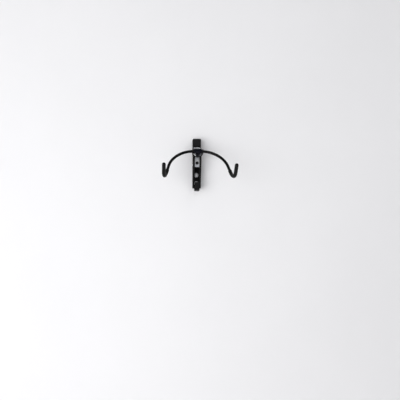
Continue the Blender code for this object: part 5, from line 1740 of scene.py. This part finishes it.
def bar_points(sizes, at, hand=1):
    """Give the bar's centre line from the middle to the tip of one hook."""
    down = Vector((0, -cos(sizes.slope), -sin(sizes.slope)))
    lift = Vector((0, -sin(sizes.slope), cos(sizes.slope)))
    across = Vector((hand, 0, 0))
    middle = out(0, at.fold_depth, at.fold_z)
    turn = sizes.arch_turn
    points = [middle]
    for part in spread(turn, ARCH_STEPS):
        run = sizes.straight / 2 + sizes.arch_radius * sin(part)
        points.append(middle + across * run + down * (sizes.arch_radius * (1 - cos(part))))
    leg = across * cos(turn) + down * sin(turn)
    leg_length = (sizes.reach - sizes.arch_radius * (1 - cos(turn))) / sin(turn)
    centre = points[-1] + leg * leg_length + lift * sizes.hook_radius
    for part in spread(sizes.hook_turn, HOOK_STEPS):
        points.append(centre + (leg * sin(part) - lift * cos(part)) * sizes.hook_radius)
    prong = leg * cos(sizes.hook_turn) + lift * sin(sizes.hook_turn)
    points.append(points[-1] + prong * sizes.prong)
    return points


class RACK_OT_support_bar(Operator):
    """Bend the bar: an arch through the hub, two legs and two upturned hooks"""
    bl_idname = "rack.support_bar"
    bl_label = "Support Bar"

    def execute(self, context):
        _, at, sizes = measured(context, "bar")
        run = Path(bar_points(sizes, at, -1)[:0:-1] + bar_points(sizes, at), (1, 0, 0))
        radius = at.bar_radius
        edge = sizes.end_edge
        end = run.length
        stations = [(0, 0), (0, radius - edge), (edge, radius)]
        stations += [(mark, radius) for mark in run.between(edge, end - edge)]
        stations += [(end - edge, radius), (end, radius - edge), (end, 0)]
        turn_piece("support_bar", run, stations, "bar_coat")
        return {"FINISHED"}


class RACK_OT_hook_sleeves(Operator):
    """Mould the two rubber sleeves: a beaded mouth where the leg goes in, and a dome over the tip"""
    bl_idname = "rack.hook_sleeves"
    bl_label = "Hook Sleeves"

    def execute(self, context):
        _, at, sizes = measured(context, "bar")
        for name, hand in HANDS.items():
            run = Path(bar_points(sizes, at, hand), (hand, 0, 0))
            turn_piece(f"hook_sleeve_{name}", run, self.outline(run, sizes, at), "rubber")
        return {"FINISHED"}

    def outline(self, run, sizes, at):
        """Give a sleeve's stations: bore, mouth, bead, seamed body and dome."""
        bore = at.bar_radius + at.gap
        outside = bore + sizes.sleeve_wall
        body = outside - sizes.bead_rise
        edge = sizes.sleeve_edge
        mouth = run.marks[-(HOOK_STEPS + 2)] - sizes.sleeve_lead
        inner_end = run.length + at.gap
        dome = inner_end + sizes.sleeve_tip - outside
        bead_end = mouth + sizes.bead

        def seamed(turn):
            """Give the reach of the round body, with a mould seam on two sides."""
            return body + (sizes.seam if abs(sin(turn)) < SEAM_WIDTH else 0.0)

        stations = [(inner_end, 0), (inner_end, bore)]
        stations += [(mark, bore) for mark in reversed(run.between(mouth + edge, inner_end))]
        stations += [(mouth + edge, bore), (mouth, bore + edge / 2)]
        stations += [
            (mouth + edge * (1 - cos(turn)), outside - edge * (1 - sin(turn)))
            for turn in quarter(RIM_STEPS)
        ]
        for part in spread(1, BEAD_FALL_STEPS):
            fall = sizes.bead_rise * (1 - cos(pi * part)) / 2
            stations.append((bead_end + 2 * edge * part, outside - fall))
        stations += [(mark, seamed) for mark in run.between(bead_end + 3 * edge, dome - edge)]
        stations += [
            (dome + outside * sin(turn), body * cos(turn)) for turn in quarter(DOME_STEPS)[:-1]
        ]
        return stations + [(dome + outside, 0)]


class RACK_OT_stop_yoke(Operator):
    """Bend the loop that passes under the hub's nose, and weld it to two rings on the bar"""
    bl_idname = "rack.stop_yoke"
    bl_label = "Stop Loop"

    def execute(self, context):
        _, at, sizes = measured(context, "bar")
        fall = Vector((0, at.yoke_back / at.yoke_reach, -at.yoke_drop / at.yoke_reach))
        off = Vector((0, at.yoke_drop / at.yoke_reach, at.yoke_back / at.yoke_reach))
        middle = out(0, at.fold_depth, at.fold_z)
        across = Vector((1, 0, 0))
        start = fall * ((at.ring_bore + at.ring_radius) / 2)
        bend = at.yoke_reach - at.ring_radius
        points = [middle + across * at.yoke_half + start]
        for turn in spread(pi, YOKE_STEPS):
            sideways = across * (at.yoke_half * cos(turn))
            points.append(middle + sideways + fall * (at.ring_radius + bend * sin(turn)))
        points.append(middle - across * at.yoke_half + start)
        run = Path(points, off)
        radius = sizes.yoke_rod / 2
        stations = [(0, 0), (0, radius)] + [(mark, radius) for mark in run.between(0, run.length)]
        loop = swept(run, stations + [(run.length, radius), (run.length, 0)])
        joins = []
        low = at.yoke_half - sizes.ring_width / 2
        collar = ring(low, low + sizes.ring_width, at.ring_bore, at.ring_radius, EASED_EDGE)
        for hand in HANDS.values():
            line = from_middle(at.fold_depth, at.fold_z, hand)
            joins.append(("UNION", swept(line, collar, closed=True)))
            centre = middle + across * (hand * at.yoke_half)
            joins.append(("UNION", self.weld_bead(centre, across, off, fall, radius, at, sizes)))
        finish_piece("stop_yoke", carved(loop, *joins), "bar_coat")
        return {"FINISHED"}

    def weld_bead(self, centre, across, off, fall, radius, at, sizes):
        """Lay a rippled bead round the rod, where it enters its ring."""
        sunk = sizes.weld * BEAD_SINK
        reach = radius + sunk
        points = []
        for turn in spread(2 * pi, BEAD_STEPS)[:-1]:
            lean = reach * sin(turn)
            height = sqrt(at.ring_radius ** 2 - lean ** 2) - sunk
            points.append(centre + across * (reach * cos(turn)) + off * lean + fall * height)
        bm = bmesh.new()
        rings = []
        for index, point in enumerate(points):
            ahead = (points[(index + 1) % BEAD_STEPS] - points[index - 1]).normalized()
            outward = (point - centre - fall * (point - centre).dot(fall)).normalized()
            upward = ahead.cross(outward)
            wave = cos(BEAD_RIPPLES * 2 * pi * index / BEAD_STEPS)
            size = sizes.weld * (1 - BEAD_RIPPLE + BEAD_RIPPLE * wave)
            rings.append([
                bm.verts.new(point + outward * (size * cos(turn)) + upward * (size * sin(turn)))
                for turn in spread(2 * pi, BEAD_SIDES)[:-1]
            ])
        for low, high in zip(rings, rings[1:] + rings[:1]):
            join_rings(bm, low, high)
        return bm


# ---------------- studio

class RACK_OT_studio(Operator):
    """Set up the camera, the soft lamps, the wall behind the rack and the floor far below"""
    bl_idname = "rack.studio"
    bl_label = "Studio"

    def execute(self, context):
        settings = context.scene.bike_rack.studio
        context.scene.view_settings.view_transform = "Standard"
        self.add_camera(context, settings)
        self.add_wall_and_floor(settings)
        self.add_lamps(context, settings)
        self.add_world(context, settings)
        return {"FINISHED"}

    def add_camera(self, context, settings):
        """Place the camera where the photograph was taken from."""
        camera = bpy.data.cameras.new("camera")
        camera.sensor_width = SENSOR
        camera.lens = settings.lens
        camera.clip_start = CLIP_START
        turn = (pi / 2 + settings.tilt, 0, settings.turn)
        context.scene.camera = self.hold(context, camera, settings.camera, turn)

    def hold(self, context, data, place, turn):
        """Give the object that holds a camera or a lamp in its place."""
        holder = bpy.data.objects.new(data.name, data)
        holder.location = place
        holder.rotation_euler = turn
        context.scene.collection.objects.link(holder)
        return holder

    def add_wall_and_floor(self, settings):
        """Hang a pale wall just behind the rack, and lay a pale floor below."""
        half = settings.size / 2
        drop = -settings.drop
        wall = self.add_sheet("studio_wall", self.wall_finish(settings), [
            (-half, BEHIND, drop), (half, BEHIND, drop), (half, BEHIND, half), (-half, BEHIND, half),
        ])
        floor_finish = self.plain_finish("studio_floor_paint", settings.floor)[0]
        floor = self.add_sheet("studio_floor", floor_finish, [
            (-half, -half, drop), (half, -half, drop), (half, half, drop), (-half, half, drop),
        ])

    def add_sheet(self, name, finish, corners):
        """Give one flat face with a finish."""
        bm = bmesh.new()
        bm.faces.new([bm.verts.new(corner) for corner in corners])
        sheet = new_object(name, bm)
        sheet.data.materials.append(finish)
        return sheet

    def plain_finish(self, name, tint):
        """Give a matt, faintly uneven paint, with its tree and shader."""
        material, tree, shader = new_material(name)
        sheen = use_group(tree, "Uneven Sheen", 0, {"Patch Scale": 2.0, "Smudge Scale": 9.0})
        low, high = shaded(tint, 0.992), shaded(tint, 1.008)
        feed(tree, shader.inputs["Base Color"], mixed(tree, 2, 0, sheen["Patches"], low, high))
        feed(tree, shader.inputs["Roughness"], 0.9)
        feed(tree, shader.inputs["Specular IOR Level"], 0.1)
        return material, tree, shader

    def wall_finish(self, settings):
        """Make the wall's paint, which lets rays from behind and shadow rays through."""
        material, tree, shader = self.plain_finish("studio_wall_paint", settings.wall)
        behind = add_node(tree, "ShaderNodeNewGeometry", 6, 6).outputs["Backfacing"]
        shadow = add_node(tree, "ShaderNodeLightPath", 6, 8).outputs["Is Shadow Ray"]
        clear = maths(tree, "MAXIMUM", 8, 6, behind, shadow)
        glass = add_node(tree, "ShaderNodeBsdfTransparent", 9, 4).outputs[0]
        mix = add_node(tree, "ShaderNodeMixShader", 11, 2, {0: clear, 1: shader.outputs[0], 2: glass})
        output = tree.nodes["Material Output"]
        output.location.x += 2 * NODE_COLUMN
        feed(tree, output.inputs["Surface"], mix.outputs[0])
        return material

    def add_lamps(self, context, settings):
        """Hang a large lamp low on the left, a weak one on the right and one behind the wall."""
        for name, (place, size) in LAMPS.items():
            lamp = bpy.data.lights.new(f"{name}_lamp", "AREA")
            lamp.shape = "SQUARE"
            lamp.size = size
            lamp.energy = getattr(settings, name)
            turn = (LAMP_AIM - place).to_track_quat("-Z", "Y").to_euler()
            self.hold(context, lamp, place, turn)

    def add_world(self, context, settings):
        """Light the rack softly from all round, and show a pale background behind it."""
        world = bpy.data.worlds.new("studio")
        world.use_nodes = True
        context.scene.world = world
        tree = world.node_tree
        tree.nodes.clear()
        way = add_node(tree, "ShaderNodeTexCoord", 0, 0).outputs["Generated"]
        towards = vector_maths(tree, "DOT_PRODUCT", 1, 0, way, BRIGHT_WAY)["Value"]
        part = ramp(tree, 2, 0, towards, -0.9, 0.9)
        tint = mixed(tree, 3, 0, part, shaded(settings.dim), shaded(settings.bright))
        seen = add_node(tree, "ShaderNodeBackground", 4, 0, {"Color": tint, "Strength": 1.0}).outputs[0]
        ambient = {"Color": shaded((1.0, 1.0, 1.0)), "Strength": settings.ambient}
        light = add_node(tree, "ShaderNodeBackground", 4, 2, ambient).outputs[0]
        rays = add_node(tree, "ShaderNodeLightPath", 1, 2).outputs
        shown = maths(tree, "MAXIMUM", 2, 2, rays["Is Camera Ray"], rays["Is Glossy Ray"])
        shown = maths(tree, "MAXIMUM", 3, 2, shown, rays["Is Transmission Ray"])
        mix = add_node(tree, "ShaderNodeMixShader", 5, 1, {0: shown, 1: light, 2: seen}).outputs[0]
        add_node(tree, "ShaderNodeOutputWorld", 6, 1, {"Surface": mix})


# ---------------- add-on

OPERATORS = (
    RACK_OT_wall_channel, RACK_OT_top_cap, RACK_OT_saddle, RACK_OT_rivets, RACK_OT_tie_bolt,
    RACK_OT_bearing, RACK_OT_wall_screws, RACK_OT_helmet_hook, RACK_OT_helmet_hook_tip,
    RACK_OT_swivel_plate, RACK_OT_hub, RACK_OT_swivel_bolt, RACK_OT_bar_bushes,
    RACK_OT_support_bar, RACK_OT_hook_sleeves, RACK_OT_stop_yoke, RACK_OT_studio,
)


class RACK_PT_pieces(Panel):
    """List the rack's pieces in the order in which they are built"""
    bl_idname = "RACK_PT_pieces"
    bl_label = "Bike Rack"
    bl_space_type = "VIEW_3D"
    bl_region_type = "UI"
    bl_category = "Bike Rack"

    def draw(self, context):
        """Draw one button for each operator, and the colours of the finishes."""
        column = self.layout.column(align=True)
        for operator in OPERATORS:
            column.operator(operator.bl_idname)
        box = self.layout.box()
        for name in FinishSettings.__annotations__:
            box.prop(context.scene.bike_rack.finish, name)


CLASSES = (
    ChannelSizes, CapSizes, SaddleSizes, SwivelSizes, HubSizes, BarSizes, WallScrewSizes, HelmetHookSizes,
    FinishSettings, StudioSettings, RackSettings, *OPERATORS, RACK_PT_pieces,
)


def register():
    """Register the settings, the operators and the panel."""
    for kind in CLASSES:
        bpy.utils.register_class(kind)
    bpy.types.Scene.bike_rack = PointerProperty(type=RackSettings)


def unregister():
    """Take the settings, the operators and the panel out again."""
    del bpy.types.Scene.bike_rack
    for kind in reversed(CLASSES):
        bpy.utils.unregister_class(kind)


def main():
    """Build every piece in order."""
    register()
    for operator in OPERATORS:
        group, name = operator.bl_idname.split(".")
        if getattr(getattr(bpy.ops, group), name)() != {"FINISHED"}:
            raise RuntimeError(f"{operator.bl_label} was not finished")


if __name__ == "__main__":
    main()
